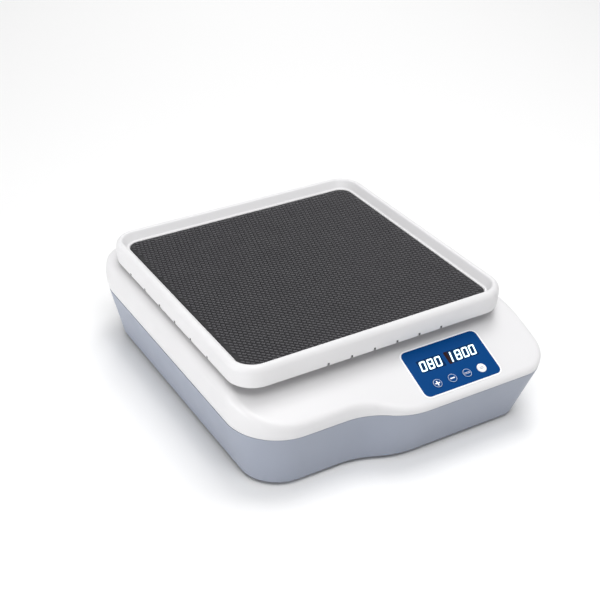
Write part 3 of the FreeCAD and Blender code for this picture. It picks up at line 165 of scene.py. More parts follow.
def skin(rings):
    """Points and faces of a surface through closed rings of equally many points."""
    count = len(rings[0])
    faces = []
    for low in range(len(rings) - 1):
        for i in range(count):
            j = (i + 1) % count
            faces.append((low * count + i, low * count + j,
                          (low + 1) * count + j, (low + 1) * count + i))
    return np.concatenate(rings), faces


def merge_close(piece, distance=1e-6):
    edit = bmesh.new()
    edit.from_mesh(piece.data)
    bmesh.ops.remove_doubles(edit, verts=edit.verts, dist=distance)
    edit.to_mesh(piece.data)
    edit.free()
    return piece


BOX_FACES = ((3, 2, 1, 0), (4, 5, 6, 7), (0, 1, 5, 4), (1, 2, 6, 5), (2, 3, 7, 6), (3, 0, 4, 7))


def boxes_mesh(name, boxes):
    """One mesh of separate upright boxes, each given by its lowest and highest corner."""
    points, faces = [], []
    for (x0, y0, z0), (x1, y1, z1) in boxes:
        base = len(points)
        points += [(x, y, z) for z in (z0, z1) for x, y in ((x0, y0), (x1, y0), (x1, y1), (x0, y1))]
        faces += [[base + i for i in face] for face in BOX_FACES]
    return add_mesh(name, points, faces, smooth=False)


def cut_away(piece, cutter):
    """Takes a cutter's space out of a piece, then removes the cutter."""
    apply_modifier(piece, "BOOLEAN", operation="DIFFERENCE", solver="EXACT",
                   material_mode="TRANSFER", object=cutter)
    bpy.data.objects.remove(cutter)
    return piece

# ---------------------------------------------------------------- plan outlines

def arc_run(x, y, radius, start, end, count, hollow=False):
    """Points and outward normals on an arc without its last point; hollow if it bends inwards."""
    angles = np.radians(np.linspace(start, end, count, endpoint=False))
    ray = np.stack([np.cos(angles), np.sin(angles)], 1)
    return np.array([x, y]) + radius * ray, -ray if hollow else ray


def line_run(x0, y0, x1, y1, count):
    share = np.linspace(0, 1, count, endpoint=False)[:, None]
    run = np.array([x1 - x0, y1 - y0])
    normal = np.array([run[1], -run[0]]) / np.hypot(*run)
    return np.array([x0, y0]) + share * run, np.repeat(normal[None], count, 0)


def casing_outline():
    """The casing's plan at its widest line, anticlockwise from the rear left."""
    side, rear, left, right = HALF_WIDTH, REAR_EDGE, FRONT_LEFT_EDGE, FRONT_RIGHT_EDGE
    run, step = WAVE_END - WAVE_START, FRONT_RIGHT_EDGE - FRONT_LEFT_EDGE
    wave = (run * run + step * step) / (4 * step)
    swing = math.degrees(2 * math.atan2(step, run))
    fl, fr, back = CORNER_FRONT_LEFT, CORNER_FRONT_RIGHT, CORNER_REAR
    runs = (
        line_run(-side, rear - back, -side, fl - left, 110),
        arc_run(fl - side, fl - left, fl, 180, 270, 36),
        line_run(fl - side, -left, WAVE_START, -left, 14),
        arc_run(WAVE_START, -left - wave, wave, 90, 90 - swing, 24, hollow=True),
        arc_run(WAVE_END, wave - right, wave, 270 - swing, 270, 24),
        line_run(WAVE_END, -right, side - fr, -right, 36),
        arc_run(side - fr, fr - right, fr, 270, 360, 24),
        line_run(side, fr - right, side, rear - back, 110),
        arc_run(side - back, rear - back, back, 0, 90, 18),
        line_run(side - back, rear, back - side, rear, 60),
        arc_run(back - side, rear - back, back, 90, 180, 18))
    return tuple(np.concatenate(parts) for parts in zip(*runs))


def square_ring(half, corner, inset, height, middle, sides=24, turns=12):
    """A rounded square moved in by inset, at one height, as equally many points every time."""
    reach, radius = half - inset, max(corner - inset, 0.0002)
    flat = reach - radius
    runs = []
    for quarter in range(4):
        angle = math.radians(90 * quarter)
        turn = np.array([[math.cos(angle), math.sin(angle)], [-math.sin(angle), math.cos(angle)]])
        for points, _ in (line_run(-flat, -reach, flat, -reach, sides),
                          arc_run(flat, -flat, radius, 270, 360, turns)):
            runs.append(points @ turn)
    plan = np.concatenate(runs) + np.array([middle.x, middle.y])
    return np.column_stack([plan, np.full(len(plan), height)])

# ---------------------------------------------------------------- top cover

def slope_height(y):
    """Height of the cover's upper face at y: flat at the rear, an arc, then the control slope."""
    y = np.asarray(y, float)
    dip = np.clip(FLAT_FRONT - y, 0, FLAT_FRONT - SLOPE_BACK)
    on_arc = COVER_TOP - SLOPE_BLEND + np.sqrt(SLOPE_BLEND ** 2 - dip ** 2)
    return on_arc - np.clip(SLOPE_BACK - y, 0, None) * math.tan(SLOPE_ANGLE)


def wall_profile():
    """The cover's wall and shoulder seen in section: inset from the widest line, and height."""
    turn = np.linspace(0, math.pi / 2, 5)
    lip_low = BULGE + LIP * (1 - np.sin(turn))
    lip_high = PARTING + LIP * (1 - np.cos(turn))
    rise = np.linspace(PARTING + LIP, WIDEST, 16)[1:]
    lean = BULGE * ((WIDEST - rise) / (WIDEST - PARTING - LIP)) ** BULGE_POWER
    angle = np.linspace(0, math.pi / 2, 60)[1:]
    across = np.clip(np.cos(angle), 0, 1) ** (2 / SHOULDER_POWER)
    up = np.sin(angle) ** (2 / SHOULDER_POWER)
    inset = np.concatenate([lip_low, lean, SHOULDER * (1 - across)])
    height = np.concatenate([lip_high, rise, WIDEST + (COVER_TOP - WIDEST) * up])
    return inset, height


def cover_section(point, normal, inset, height, run):
    """One section of the cover: up the wall, round the edge and a little way in on top.

    inset, height and run (length along the section) are the wall profile's.
    """
    wall_steps, edge_steps, top_steps = 20, 6, 4
    shortest_edge, top_margin = 0.0048, 0.0012
    over = height - slope_height(point[1] - normal[1] * inset)
    crossing = np.nonzero(over > 1e-7)[0]
    if len(crossing):
        after = crossing[0]
        share = -over[after - 1] / (over[after] - over[after - 1])
        corner_run = run[after - 1] + share * (run[after] - run[after - 1])
    else:
        after = len(run) - 1
        corner_run = run[-1]
    corner_inset = np.interp(corner_run, run, inset)
    corner = np.array([corner_inset, np.interp(corner_run, run, height)])
    step = 1e-5
    wall_way = math.atan2(height[after] - height[after - 1], inset[after] - inset[after - 1])
    there = point[1] - normal[1] * corner_inset
    top_way = math.atan2(float(slope_height(there - normal[1] * step) - slope_height(there)), step)
    edge = max(EDGE_ROUND * math.tan(max(wall_way - top_way, 0) / 2), shortest_edge)
    wall_runs = np.linspace(0, corner_run - edge, wall_steps)
    section = [np.column_stack([np.interp(wall_runs, run, inset),
                                np.interp(wall_runs, run, height)])]
    top_start = corner_inset + edge * math.cos(top_way)

    def on_top(insets):
        return np.column_stack([insets, slope_height(point[1] - normal[1] * insets)])

    first, last = section[0][-1], on_top(np.array([top_start]))[0]
    for share in np.linspace(0, 1, edge_steps + 2)[1:-1]:
        section.append(((1 - share) ** 2 * first + 2 * share * (1 - share) * corner
                        + share ** 2 * last)[None])
    section.append(on_top(top_start + np.linspace(0, top_margin, top_steps)))
    section = np.concatenate(section)
    plan = point - normal * section[:, :1]
    return np.column_stack([plan, section[:, 1]])


def opening_loops():
    """Plan loops of the holes in the cover, each with the test that tells what lies in it."""
    shaft_low, shaft_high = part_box("drive_shaft")
    axis = ((shaft_low + shaft_high) / 2).to_2d()
    pin_low, pin_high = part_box("crank_pin")
    throw = (((pin_low + pin_high) / 2).to_2d() - axis).length
    circles = [(axis, throw + (pin_high.x - pin_low.x) / 2 + CRANK_HOLE_GAP)]
    for side, way in ((-1, -1), (1, -1), (-1, 1), (1, 1)):
        circles.append((axis + IDLER_SPREAD * Vector((side, way)),
                        throw + IDLER_JOURNAL + IDLER_HOLE_GAP))
    angles = np.linspace(0, 2 * math.pi, 40, endpoint=False)
    loops = []
    for middle, radius in circles:
        points = np.column_stack([middle.x + radius * np.cos(angles),
                                  middle.y + radius * np.sin(angles)])
        loops.append((points, lambda x, y, m=middle, r=radius: math.hypot(x - m.x, y - m.y) < r))
    half_x, half_y, corner = APERTURE
    squeeze = math.cos(SLOPE_ANGLE)
    plan = np.concatenate([
        arc_run(sx * (half_x - corner), sy * (half_y - corner), corner, start, start + 90, 8)[0]
        for sx, sy, start in ((1, 1, 0), (-1, 1, 90), (-1, -1, 180), (1, -1, 270))])
    loops.append((plan * np.array([1, squeeze]) + np.array([PANEL.x, PANEL.y]),
                  lambda x, y: (abs(x - PANEL.x) < half_x - 1e-5
                                and abs(y - PANEL.y) < (half_y - 1e-5) * squeeze)))
    return loops


def fill_top(rim):
    """Triangles that fill the cover's top inside a rim, with the openings left out."""
    loops = opening_loops()
    points, edges = [], []
    for loop in [rim[:, :2]] + [loop for loop, _ in loops]:
        base, count = len(points), len(loop)
        points += [Vector(p) for p in loop]
        edges += [(base + i, base + (i + 1) % count) for i in range(count)]
    outline = rim[:, :2]
    front, rear = outline[:, 1].min(), outline[:, 1].max()
    side_margin, column_pitch, keep_off = 0.02, 0.008, 0.003
    # rows of points close together over the bend, and wide apart on the flat top and the slope
    rows = np.concatenate([np.arange(SLOPE_BACK - 0.006, FLAT_FRONT + 0.008, 0.002),
                           np.arange(FLAT_FRONT + 0.02, rear - 0.01, 0.02),
                           np.arange(SLOPE_BACK - 0.014, front, -0.012)])
    for y in rows:
        for x in np.arange(side_margin - HALF_WIDTH, HALF_WIDTH - side_margin, column_pitch):
            gap = np.hypot(outline[:, 0] - x, outline[:, 1] - y).min()
            near_hole = any(np.hypot(loop[:, 0] - x, loop[:, 1] - y).min() < keep_off
                            or inside(x, y) for loop, inside in loops)
            if gap > keep_off and not near_hole and point_in(outline, x, y):
                points.append(Vector((x, y)))
    made, _, faces, sources, _, _ = delaunay_2d_cdt(points, edges, [], 1, 1e-7)
    kept = []
    for face in faces:
        x = sum(made[i].x for i in face) / 3
        y = sum(made[i].y for i in face) / 3
        if point_in(outline, x, y) and not any(inside(x, y) for _, inside in loops):
            kept.append(face)
    places = [(p.x, p.y, float(slope_height(p.y))) for p in made]
    for place, source in enumerate(sources):
        exact = [i for i in source if i < len(rim)]
        if exact:
            places[place] = tuple(rim[exact[0]])
    return places, kept


def point_in(outline, x, y):
    """Whether a point lies inside a closed outline, by counting crossings."""
    x0, y0 = outline[:, 0], outline[:, 1]
    x1, y1 = np.roll(x0, -1), np.roll(y0, -1)
    crosses = (y0 > y) != (y1 > y)
    run = np.where(crosses, y1 - y0, 1)
    return bool(np.count_nonzero(crosses & (x < (x1 - x0) * (y - y0) / run + x0)) % 2)


def make_cover():
    points, normals = casing_outline()
    inset, height = wall_profile()
    run = np.concatenate([[0], np.cumsum(np.hypot(np.diff(inset), np.diff(height)))])
    sections = np.array([cover_section(p, n, inset, height, run)
                         for p, n in zip(points, normals)])
    rings = [sections[:, i] for i in range(sections.shape[1])]
    wall_points, faces = skin(rings)
    top_points, top_faces = fill_top(rings[-1])
    base = len(wall_points)
    cover = add_mesh("cover_shell", list(wall_points) + top_points,
                     faces + [[base + i for i in face] for face in top_faces])
    merge_close(cover)
    edit = bmesh.new()
    edit.from_mesh(cover.data)
    bmesh.ops.delete(edit, geom=[v for v in edit.verts if not v.link_faces], context="VERTS")
    bmesh.ops.recalc_face_normals(edit, faces=edit.faces)
    if sum(face.normal.z * face.calc_area() for face in edit.faces) < 0:
        bmesh.ops.reverse_faces(edit, faces=edit.faces)
    edit.to_mesh(cover.data)
    edit.free()
    apply_modifier(cover, "SOLIDIFY", thickness=SHELL_WALL, offset=-1, use_even_offset=True)
    sharpen(cover, 40)
    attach(cover, "base")
    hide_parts("top_cover")
    return cover

# ---------------------------------------------------------------- tray and mat

def tray_profile():
    """The tray's section as inset from its outer edge and height, from underside to mat seat."""
    low, top, floor = TRAY_LOW.z, TRAY_HIGH.z, MAT_LOW.z
    under, heel, toe = floor - 0.0037, 0.0012, 0.0009
    ledge, ledge_end, bevel = MAT_HIGH.z - 0.0006, TRAY_HALF - MAT_HALF - 0.0005, 0.0006

    def quarter(count):
        return np.linspace(0, math.pi / 2, count)

    spots = [(TRAY_CENTRE, under), (UNDERSIDE_EDGE, under)]
    spots += [(SKIRT_WALL + heel * (1 - math.sin(a)), under - heel * (1 - math.cos(a)))
              for a in quarter(4)]
    # round the skirt's lower edge, from its inner side to its outer side
    spots += [(SKIRT_WALL - 0.0002, low + 0.0006), (SKIRT_WALL - 0.0006, low), (0.0014, low),
              (0.0009, low + 0.0003), (SKIRT_FLARE, low + toe)]
    rise = top - RIM_UP - low - toe
    spots += [(SKIRT_FLARE * (1 - share) ** 2, low + toe + share * rise)
              for share in (0.33, 0.66, 1)]
    spots += [(RIM_ACROSS * (1 - math.cos(a)), top - RIM_UP * (1 - math.sin(a)))
              for a in quarter(15)[1:]]
    turns = np.linspace(0, RIM_LEAN, 8)
    spots += [(RIM_ACROSS + RIM_BROW * math.sin(a), top - RIM_BROW * (1 - math.cos(a)))
              for a in turns]
    drop = top - (RIM_BROW + RIM_FOOT) * (1 - math.cos(RIM_LEAN)) - ledge
    wall_foot = RIM_ACROSS + RIM_BROW * math.sin(RIM_LEAN) + drop / math.tan(RIM_LEAN)
    spots += [(wall_foot + RIM_FOOT * (math.sin(RIM_LEAN) - math.sin(a)),
               ledge + RIM_FOOT * (1 - math.cos(a))) for a in turns[::-1]]
    spots += [(ledge_end - bevel, ledge), (ledge_end - bevel / 3, ledge - bevel / 3),
              (ledge_end, ledge - bevel), (ledge_end, floor), (TRAY_CENTRE, floor)]
    return spots


def notch_boxes():
    """Boxes that cut the notches in the lower edge of the skirt, on all four sides."""
    low, high, half = TRAY_LOW.z - 0.001, TRAY_LOW.z + NOTCH_HEIGHT, NOTCH_WIDTH / 2
    boxes = []
    for i in range(NOTCH_COUNT):
        step = i - (NOTCH_COUNT - 1) / 2
        for side in (-1, 1):
            along = NOTCH_PITCH_X * step + NOTCH_SHIFT + TRAY_MIDDLE.x
            edge = TRAY_MIDDLE.y + side * TRAY_HALF
            boxes.append(((along - half, edge - NOTCH_DEPTH, low),
                          (along + half, edge + NOTCH_DEPTH, high)))
            along = NOTCH_PITCH_Y * step + NOTCH_SHIFT + TRAY_MIDDLE.y
            edge = TRAY_MIDDLE.x + side * TRAY_HALF
            boxes.append(((edge - NOTCH_DEPTH, along - half, low),
                          (edge + NOTCH_DEPTH, along + half, high)))
    return boxes


def close_ends(points, faces, rings):
    """Adds the flat faces that close the first and last ring of a skin."""
    count = len(rings[0])
    first = list(range(count))[::-1]
    last = [(len(rings) - 1) * count + i for i in range(count)]
    return points, faces + [first, last]


def make_tray(outside, notch_painted_shade):
    """The tray's shell with its notches; the two materials are its own and painted shade on the
    notches' cut walls.
    """
    rings = [square_ring(TRAY_HALF, TRAY_CORNER, inset, height, TRAY_MIDDLE, sides=40, turns=18)
             for inset, height in tray_profile()]
    tray = add_mesh("tray_shell", *close_ends(*skin(rings), rings))
    face_outward(tray)
    # the notches' cut walls take the cutter's material: a dark grey that paints in the shade inside
    # the slots
    cutter = boxes_mesh("notch_cutter", notch_boxes())
    paint(tray, outside)
    paint(cutter, notch_painted_shade)
    cut_away(tray, cutter)
    sharpen(tray, 40)
    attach(tray, "platform")
    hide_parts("tray")
    return tray


def face_outward(piece):
    edit = bmesh.new()
    edit.from_mesh(piece.data)
    bmesh.ops.recalc_face_normals(edit, faces=edit.faces)
    edit.to_mesh(piece.data)
    edit.free()
    return piece


def make_mat():
    """The mat: a thin slab covered with short ribs, laid like bricks along a diagonal."""
    pitch_long, pitch_across, border = 0.0044, 0.0038, 0.0010
    foot, crest = (0.0019, 0.0013), (0.0016, 0.0007)        # half length and half width
    face = MAT_HIGH.z - RIB_HIGH
    middle = (MAT_LOW + MAT_HIGH) / 2
    flat = 0.004                                # inset where one face closes the slab
    profile = ((flat, MAT_LOW.z), (0.0002, MAT_LOW.z), (0.0, MAT_LOW.z + 0.0002),
               (0.0, face - 0.0004), (0.0001, face - 0.0001), (0.0004, face), (flat, face))
    rings = [square_ring(MAT_HALF, MAT_CORNER, inset, height, middle) for inset, height in profile]
    points, faces = close_ends(*skin(rings), rings)
    points, faces = [tuple(p) for p in points], [list(f) for f in faces]
    limit, corner, root = MAT_HALF - border - foot[0], MAT_CORNER - border, 0.5 ** 0.5
    reach = int(MAT_HALF * 2 ** 0.5 / pitch_across) + 1
    for row in range(-reach, reach + 1):
        for place in range(-reach, reach + 1):
            along, across = (place + 0.5 * (row % 2)) * pitch_long, row * pitch_across
            x, y = (along + across) * root, (across - along) * root
            out_x, out_y = abs(x) - limit + corner, abs(y) - limit + corner
            if math.hypot(max(out_x, 0), max(out_y, 0)) > corner:
                continue
            base = len(points)
            for (long, wide), z in ((foot, face - 0.0001), (crest, MAT_HIGH.z)):
                points += [(middle.x + x + (u + v) * root, middle.y + y + (v - u) * root, z)
                           for u, v in bar(-long, long, -wide, wide)]
            faces += [[base + k for k in quad] for quad in BOX_FACES]
    mat = add_mesh("ribbed_mat", points, faces)
    face_outward(mat)
    sharpen(mat, 30)
    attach(mat, "platform")
    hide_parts("anti_slip_mat")
    return mat

# ---------------------------------------------------------------- panel print

def panel_point(x, y, z):
    return PANEL + PANEL_TILT.to_3x3() @ Vector((x, y, z))


def plates(name, shapes, low, high, body):
    """Thin raised plates on the control slope, each given by its outline in the panel's plane."""
    points, faces = [], []
    for outline in shapes:
        count, base = len(outline), len(points)
        points += [panel_point(x, y, low) for x, y in outline]
        points += [panel_point(x, y, high) for x, y in outline]
        faces += [[base + i for i in range(count)][::-1], [base + count + i for i in range(count)]]
        faces += [[base + i, base + (i + 1) % count, base + count + (i + 1) % count, base + count + i]
                  for i in range(count)]
    piece = add_mesh(name, points, faces, smooth=False)
    face_outward(piece)
    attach(piece, body)
    return piece


def ring_plate(name, x, y, inner, outer, low, high, body, steps=64):
    """A thin flat ring on the control slope."""
    rings = []
    for radius, z in ((inner, low), (outer, low), (outer, high), (inner, high), (inner, low)):
        angles = np.linspace(0, 2 * math.pi, steps, endpoint=False)
        rings.append(np.array([panel_point(x + radius * math.cos(a), y + radius * math.sin(a), z)
                               for a in angles]))
    piece = add_mesh(name, *skin(rings), smooth=False)
    merge_close(piece)
    face_outward(piece)
    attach(piece, body)
    return piece


def bar(x0, x1, y0, y1):
    return [(x0, y0), (x1, y0), (x1, y1), (x0, y1)]


def digit_shapes(figure, middle, grow=0.0):
    """Outlines of a seven-segment figure's lit bars, with cut outer corners and a slant."""
    x, y, stroke, gap = DIGIT_WIDE / 2, DIGIT_HIGH / 2, DIGIT_STROKE, 0.00002
    x, y, stroke = x + grow, y + grow, stroke + 2 * grow
    corner = 0.6 * stroke
    inner_x, inner_y = x - stroke, y - stroke

    def crown(side):
        return [(-x, side * inner_y), (x, side * inner_y), (x, side * (y - corner)),
                (x - corner, side * y), (corner - x, side * y), (-x, side * (y - corner))]

    def upright(side, low, high):
        x0, x1 = sorted((side * inner_x, side * x))
        return bar(x0, x1, low + gap, high - gap)

    bars = {"a": crown(1), "d": crown(-1),
            "g": bar(gap - inner_x, inner_x - gap, -stroke / 2, stroke / 2),
            "b": upright(1, 0, inner_y), "c": upright(1, -inner_y, 0),
            "e": upright(-1, -inner_y, 0), "f": upright(-1, 0, inner_y)}
    if figure == "1":
        bars["b"], bars["c"] = upright(1, 0, y), upright(1, -y, 0)
    return [[(middle + u + DIGIT_SLANT * v, DIGITS_Y + v) for u, v in bars[letter]]
            for letter in SEGMENTS[figure]]


def make_readings():
    """The lit figures, with a thin halo below them, on the face of each window."""
    pieces = []
    for name, figures in READINGS.items():
        for part, grow, rise in (("glow", 0.00018, 0.00006), ("figures", 0.0, 0.00012)):
            shapes = [shape for figure, middle in figures
                      for shape in digit_shapes(figure, middle, grow)]
            pieces.append(plates("%s_%s" % (name, part), shapes, OVERLAY_FACE - SINK,
                                 OVERLAY_FACE + rise, "base"))
    return pieces


def key_middle(name):
    """A key's middle in the panel's plane, from its CAD node."""
    low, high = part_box("key_" + name)
    middle = PANEL_TILT.to_3x3().inverted() @ ((low + high) / 2 - PANEL)
    return middle.x, KEY_ROW


def make_key_prints():
    """The rings and signs printed on the four keys."""
    low, high = KEY_FACE - SINK, KEY_FACE + 0.00008
    long, thick = 0.0024, 0.0006                    # arms of the plus and minus signs
    corners = ((thick, long), (thick, thick), (long, thick))
    plus = [(sx * u, sy * v) for sx, sy, order in ((1, 1, 1), (1, -1, -1), (-1, -1, 1), (-1, 1, -1))
            for u, v in corners[::order]]
    signs = {"plus": [plus], "minus": [bar(-long, long, -thick, thick)],
             "mode": [bar(-0.0031, 0.0031, 0.0004, 0.0007), bar(-0.0031, 0.0031, -0.0007, -0.0004)],
             "start": [bar(-0.0017, 0.0017, 0.0004, 0.0010), bar(-0.0017, 0.0017, -0.0010, -0.0004)]}
    pieces = []
    for name in ("plus", "minus", "mode"):
        x, y = key_middle(name)
        pieces.append(ring_plate("%s_key_ring" % name, x, y, 0.00375, 0.00410, low, high,
                                 name + "_key"))
    for name, shapes in signs.items():
        x, y = key_middle(name)
        moved = [[(x + u, y + v) for u, v in shape] for shape in shapes]
        pieces.append(plates(name + "_key_sign", moved, low, high, name + "_key"))
    return pieces

# ---------------------------------------------------------------- materials

def new_material(name, colour, rough, metal=0.0, **sockets):
    """A principled material with its plain values set on the shader's own sockets."""
    material = bpy.data.materials.new(name)
    material.use_nodes = True
    shader = material.node_tree.nodes["Principled BSDF"]
    shader.inputs["Base Color"].default_value = (*colour, 1)
    shader.inputs["Roughness"].default_value = rough
    shader.inputs["Metallic"].default_value = metal
    for key, value in sockets.items():
        shader.inputs[key.replace("_", " ")].default_value = value
    return material


def add_node(material, kind, **settings):
    node = material.node_tree.nodes.new(kind)
    for key, value in settings.items():
        setattr(node, key, value)
    return node


def object_place(material, stretch=(1, 1, 1)):
    """Coordinates in the object's own frame, in metres, stretched along its axes."""
    place = add_node(material, "ShaderNodeTexCoord")
    mapping = add_node(material, "ShaderNodeMapping")
    mapping.inputs["Scale"].default_value = stretch
    material.node_tree.links.new(place.outputs["Object"], mapping.inputs["Vector"])
    return mapping.outputs["Vector"]


def noise(material, scale, detail=3.0, stretch=(1, 1, 1)):
    node = add_node(material, "ShaderNodeTexNoise")
    node.inputs["Scale"].default_value = scale
    node.inputs["Detail"].default_value = detail
    material.node_tree.links.new(object_place(material, stretch), node.inputs["Vector"])
    return node.outputs["Fac"]


def spread(material, source, low, high, socket, start=0.3, end=0.7):
    """Maps a 0..1 pattern to a range of numbers on one of the shader's sockets."""
    node = add_node(material, "ShaderNodeMapRange")
    node.inputs["From Min"].default_value = start
    node.inputs["From Max"].default_value = end
    node.inputs["To Min"].default_value = low
    node.inputs["To Max"].default_value = high
    shader = material.node_tree.nodes["Principled BSDF"]
    material.node_tree.links.new(source, node.inputs["Value"])
    material.node_tree.links.new(node.outputs["Result"], shader.inputs[socket])


def tint(material, source, low, high, start=0.3, end=0.7):
    """Colours the surface between two tones by a 0..1 pattern."""
    ramp = add_node(material, "ShaderNodeValToRGB")
    ramp.color_ramp.elements[0].position = start
    ramp.color_ramp.elements[0].color = (*low, 1)
    ramp.color_ramp.elements[1].position = end
    ramp.color_ramp.elements[1].color = (*high, 1)
    shader = material.node_tree.nodes["Principled BSDF"]
    material.node_tree.links.new(source, ramp.inputs["Fac"])
    material.node_tree.links.new(ramp.outputs["Color"], shader.inputs["Base Color"])


def blend_along(material, axis, start, end, first, last):
    """Colours the surface from one tone to another between two places on an axis."""
    split = add_node(material, "ShaderNodeSeparateXYZ")
    material.node_tree.links.new(object_place(material), split.inputs["Vector"])
    share = add_node(material, "ShaderNodeMapRange")
    share.inputs["From Min"].default_value = start
    share.inputs["From Max"].default_value = end
    material.node_tree.links.new(split.outputs[axis], share.inputs["Value"])
    tint(material, share.outputs["Result"], first, last, 0.0, 1.0)


def bump(material, source, distance, strength=1.0):
    node = add_node(material, "ShaderNodeBump")
    node.inputs["Distance"].default_value = distance
    node.inputs["Strength"].default_value = strength
    shader = material.node_tree.nodes["Principled BSDF"]
    material.node_tree.links.new(source, node.inputs["Height"])
    material.node_tree.links.new(node.outputs["Normal"], shader.inputs["Normal"])


def shade(colour, share):
    return tuple(channel * share for channel in colour)


def moulded(name, colour, rough, grain=0.00003, scale=1600, cloud=0.03, **sockets):
    """Moulded plastic: a fine spark-eroded grain and a faint cloud in colour and gloss."""
    material = new_material(name, colour, rough, **sockets)
    if cloud:
        tint(material, noise(material, 9, 2), shade(colour, 1 - cloud), colour)
    spread(material, noise(material, 35, 4), rough - 0.04, rough + 0.05, "Roughness")
    bump(material, noise(material, scale, 2), grain)
    return material


def metal(name, colour, rough, stretch, scale=500, depth=0.000008):
    """Metal with brushing or turning lines along the axis that isn't stretched."""
    material = new_material(name, colour, rough, metal=1.0)
    lines = noise(material, scale, 3, stretch)
    tint(material, lines, shade(colour, 0.86), colour)
    spread(material, lines, rough - 0.06, rough + 0.1, "Roughness")
    bump(material, lines, depth)
    return material


PRINT_BLUE = (0.001, 0.052, 0.205)
WINDOW_SMOKE = (0.001, 0.022, 0.085)


def make_materials():
    made = {
        "white_shell": moulded("white_shell", (0.735, 0.73, 0.74), 0.42),
        "grey_shell": moulded("grey_shell", (0.312, 0.340, 0.410), 0.46, grain=0.00004),
        "foot_rubber": moulded("foot_rubber", (0.02, 0.02, 0.02), 0.7, grain=0.00005, scale=900),
        "panel_blue": moulded("panel_blue", PRINT_BLUE, 0.32, grain=0.000004, cloud=0.1,
                              Specular_IOR_Level=0.08),
        "panel_white": moulded("panel_white", (0.93, 0.94, 0.96), 0.35, grain=0.000004),
        "key_white": moulded("key_white", (0.90, 0.91, 0.93), 0.35, grain=0.000004),
        "key_blue": moulded("key_blue", PRINT_BLUE, 0.32, grain=0.000004, cloud=0.1,
                            Specular_IOR_Level=0.08),
        "window_smoke": moulded("window_smoke", WINDOW_SMOKE, 0.2, grain=0.000002,
                                Specular_IOR_Level=0.15),
        "display_black": moulded("display_black", (0.02, 0.02, 0.02), 0.5),
        "black_plastic": moulded("black_plastic", (0.022, 0.022, 0.024), 0.45),
        "rocker_black": moulded("rocker_black", (0.018, 0.018, 0.02), 0.3, grain=0.00001),
        "belt_rubber": moulded("belt_rubber", (0.02, 0.02, 0.02), 0.65, grain=0.00006, scale=700),
        "circuit_board": moulded("circuit_board", (0.01, 0.10, 0.04), 0.35, scale=700, cloud=0.25),
        "capacitor_can": moulded("capacitor_can", (0.03, 0.035, 0.07), 0.3, cloud=0.15),
        "motor_paint": moulded("motor_paint", (0.03, 0.03, 0.034), 0.38, grain=0.00002, scale=900),
        "nickel": metal("nickel", (0.66, 0.62, 0.53), 0.25, (1, 1, 8)),
        "plate_steel": metal("plate_steel", (0.55, 0.56, 0.58), 0.36, (1, 14, 14), 120),
        "screw_steel": metal("screw_steel", (0.58, 0.58, 0.6), 0.3, (1, 1, 6)),
        "cast_aluminium": metal("cast_aluminium", (0.62, 0.63, 0.65), 0.45, (1, 1, 1), 900, 0.00004),
        "ground_steel": metal("ground_steel", (0.6, 0.6, 0.62), 0.24, (1, 1, 12), 400),
        "bearing_steel": metal("bearing_steel", (0.7, 0.7, 0.72), 0.15, (1, 1, 10), 500),
    }
    # painted shade and light: the mat's colour runs by height from dark down between the ribs to
    # lighter on the rib tops
    valley_painted_shade, crest = (0.006, 0.006, 0.008), (0.056, 0.054, 0.060)
    rubber = moulded("mat_rubber", (0.036, 0.035, 0.039), 0.6, grain=0.00002, scale=1100, cloud=0)
    blend_along(rubber, "Z", MAT_HIGH.z - RIB_HIGH, MAT_HIGH.z, valley_painted_shade, crest)
    made["mat_rubber"] = rubber
    for name, colour, power in (("figure_white", (0.92, 1.0, 1.0), 1.0),
                                ("figure_glow", (0.05, 0.45, 0.62), 0.55)):
        lit = moulded(name, shade(colour, 0.9), 0.4, grain=0.000004)
        shader = lit.node_tree.nodes["Principled BSDF"]
        shader.inputs["Emission Color"].default_value = (*colour, 1)
        shader.inputs["Emission Strength"].default_value = power
        made[name] = lit
    tinted = moulded("window_tinted", WINDOW_SMOKE, 0.2, grain=0.000002, cloud=0,
                     Specular_IOR_Level=0.15)
    blend_along(tinted, "X", PANEL.x + 0.0014, PANEL.x + 0.0038, (0.024, 0.010, 0.011),
                WINDOW_SMOKE)
    made["window_tinted"] = tinted
    # painted shade: dark grey for the notches' walls, in place of the shadow inside the slots
    made["slot_shade"] = moulded("slot_shade", (0.11, 0.11, 0.115), 0.6)
    made["print_pale"] = moulded("print_pale", (0.55, 0.64, 0.78), 0.35, grain=0.000004)
    made["print_grey"] = moulded("print_grey", (0.32, 0.33, 0.36), 0.4, grain=0.000004)
    return made


def paint(piece, material):
    piece.data.materials.clear()
    piece.data.materials.append(material)


def paint_nodes(materials):
    """Gives every CAD node the material of its slot; the time window has a tinted one of its own."""
    slots = {part["node"]: part["material_slot"] for part in frame["record"]["subparts"]}
    for name, node in frame["nodes"].items():
        paint(node, materials["window_tinted" if name == "time_window" else slots[name]])

# ---------------------------------------------------------------- stage

def make_stage():
    size = 6.0
    floor = add_mesh("floor", [(-size, -size, 0), (size, -size, 0), (size, size, 0), (-size, size, 0)],
                     [(0, 1, 2, 3)], smooth=False)
    material = new_material("floor_paper", (0.90, 0.90, 0.90), 0.9)
    material.node_tree.nodes["Principled BSDF"].inputs["Specular IOR Level"].default_value = 0.0
    paint(floor, material)


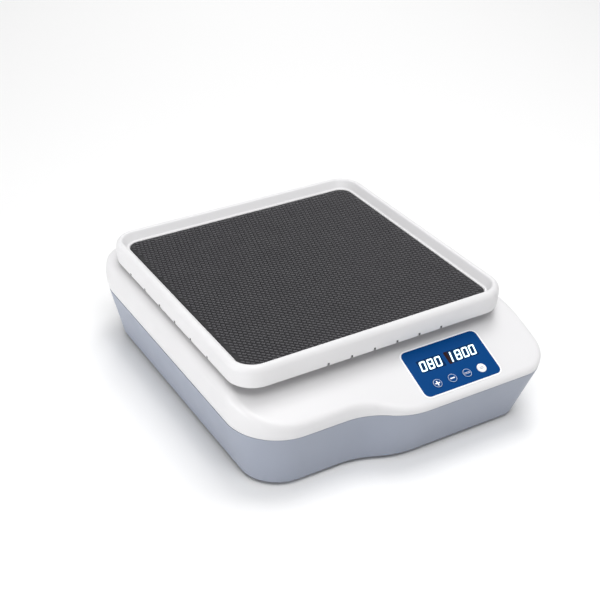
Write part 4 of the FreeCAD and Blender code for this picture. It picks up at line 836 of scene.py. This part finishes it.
def add_area_light(name, place, target, size, power):
    light = bpy.data.lights.new(name, "AREA")
    light.shape = "RECTANGLE"
    light.size, light.size_y = size
    light.energy = power
    lamp = bpy.data.objects.new(name, light)
    bpy.context.scene.collection.objects.link(lamp)
    lamp.location = place
    lamp.rotation_mode = "QUATERNION"
    lamp.rotation_quaternion = (Vector(target) - Vector(place)).to_track_quat("-Z", "Y")
    lamp.visible_camera = False


def make_light():
    world = bpy.data.worlds.new("studio")
    bpy.context.scene.world = world
    world.use_nodes = True
    background = world.node_tree.nodes["Background"]
    background.inputs["Color"].default_value = (1, 1, 1, 1)
    background.inputs["Strength"].default_value = 0.42
    middle = (0, 0, 0.06)
    add_area_light("left_card", (-1.6, 0.1, 0.10), middle, (1.5, 0.2), 9.5)
    add_area_light("front_light", (-0.35, -0.95, 1.75), middle, (0.9, 0.9), 18)
    add_area_light("top_light", (0.25, 0.0, 2.1), middle, (0.8, 0.8), 16)
    add_area_light("back_light", (0.75, 1.5, 1.3), (0.7, 1.3, 0), (0.8, 0.8), 7)


def make_camera():
    """The viewing angle: from the front left and above, through a long lens."""
    place = (-0.502087, -0.843174, 0.677802)
    swing, dip, roll = math.radians(30.0481), math.radians(31.2567), math.radians(-0.0238)
    camera = bpy.data.cameras.new("camera")
    camera.sensor_width = 36.0
    camera.lens = 73.195
    camera.clip_start, camera.clip_end = 0.05, 20
    holder = bpy.data.objects.new("camera", camera)
    bpy.context.scene.collection.objects.link(holder)
    turn = (Matrix.Rotation(-swing, 4, "Z") @ Matrix.Rotation(math.pi / 2 - dip, 4, "X")
            @ Matrix.Rotation(roll, 4, "Z"))
    holder.matrix_world = Matrix.Translation(place) @ turn
    bpy.context.scene.camera = holder

# ---------------------------------------------------------------- all together

make_camera()
make_stage()
make_light()
MATERIALS = make_materials()
paint_nodes(MATERIALS)
paint(make_cover(), MATERIALS["white_shell"])
make_tray(MATERIALS["white_shell"], MATERIALS["slot_shade"])
paint(make_mat(), MATERIALS["mat_rubber"])
for piece in make_readings():
    paint(piece, MATERIALS["figure_glow" if piece.name.endswith("glow") else "figure_white"])
for piece in make_key_prints():
    if piece.name.startswith("start"):
        paint(piece, MATERIALS["print_grey"])
    else:
        paint(piece, MATERIALS["print_pale" if piece.name.endswith("ring") else "panel_white"])
bpy.context.scene.view_settings.view_transform = "Standard"
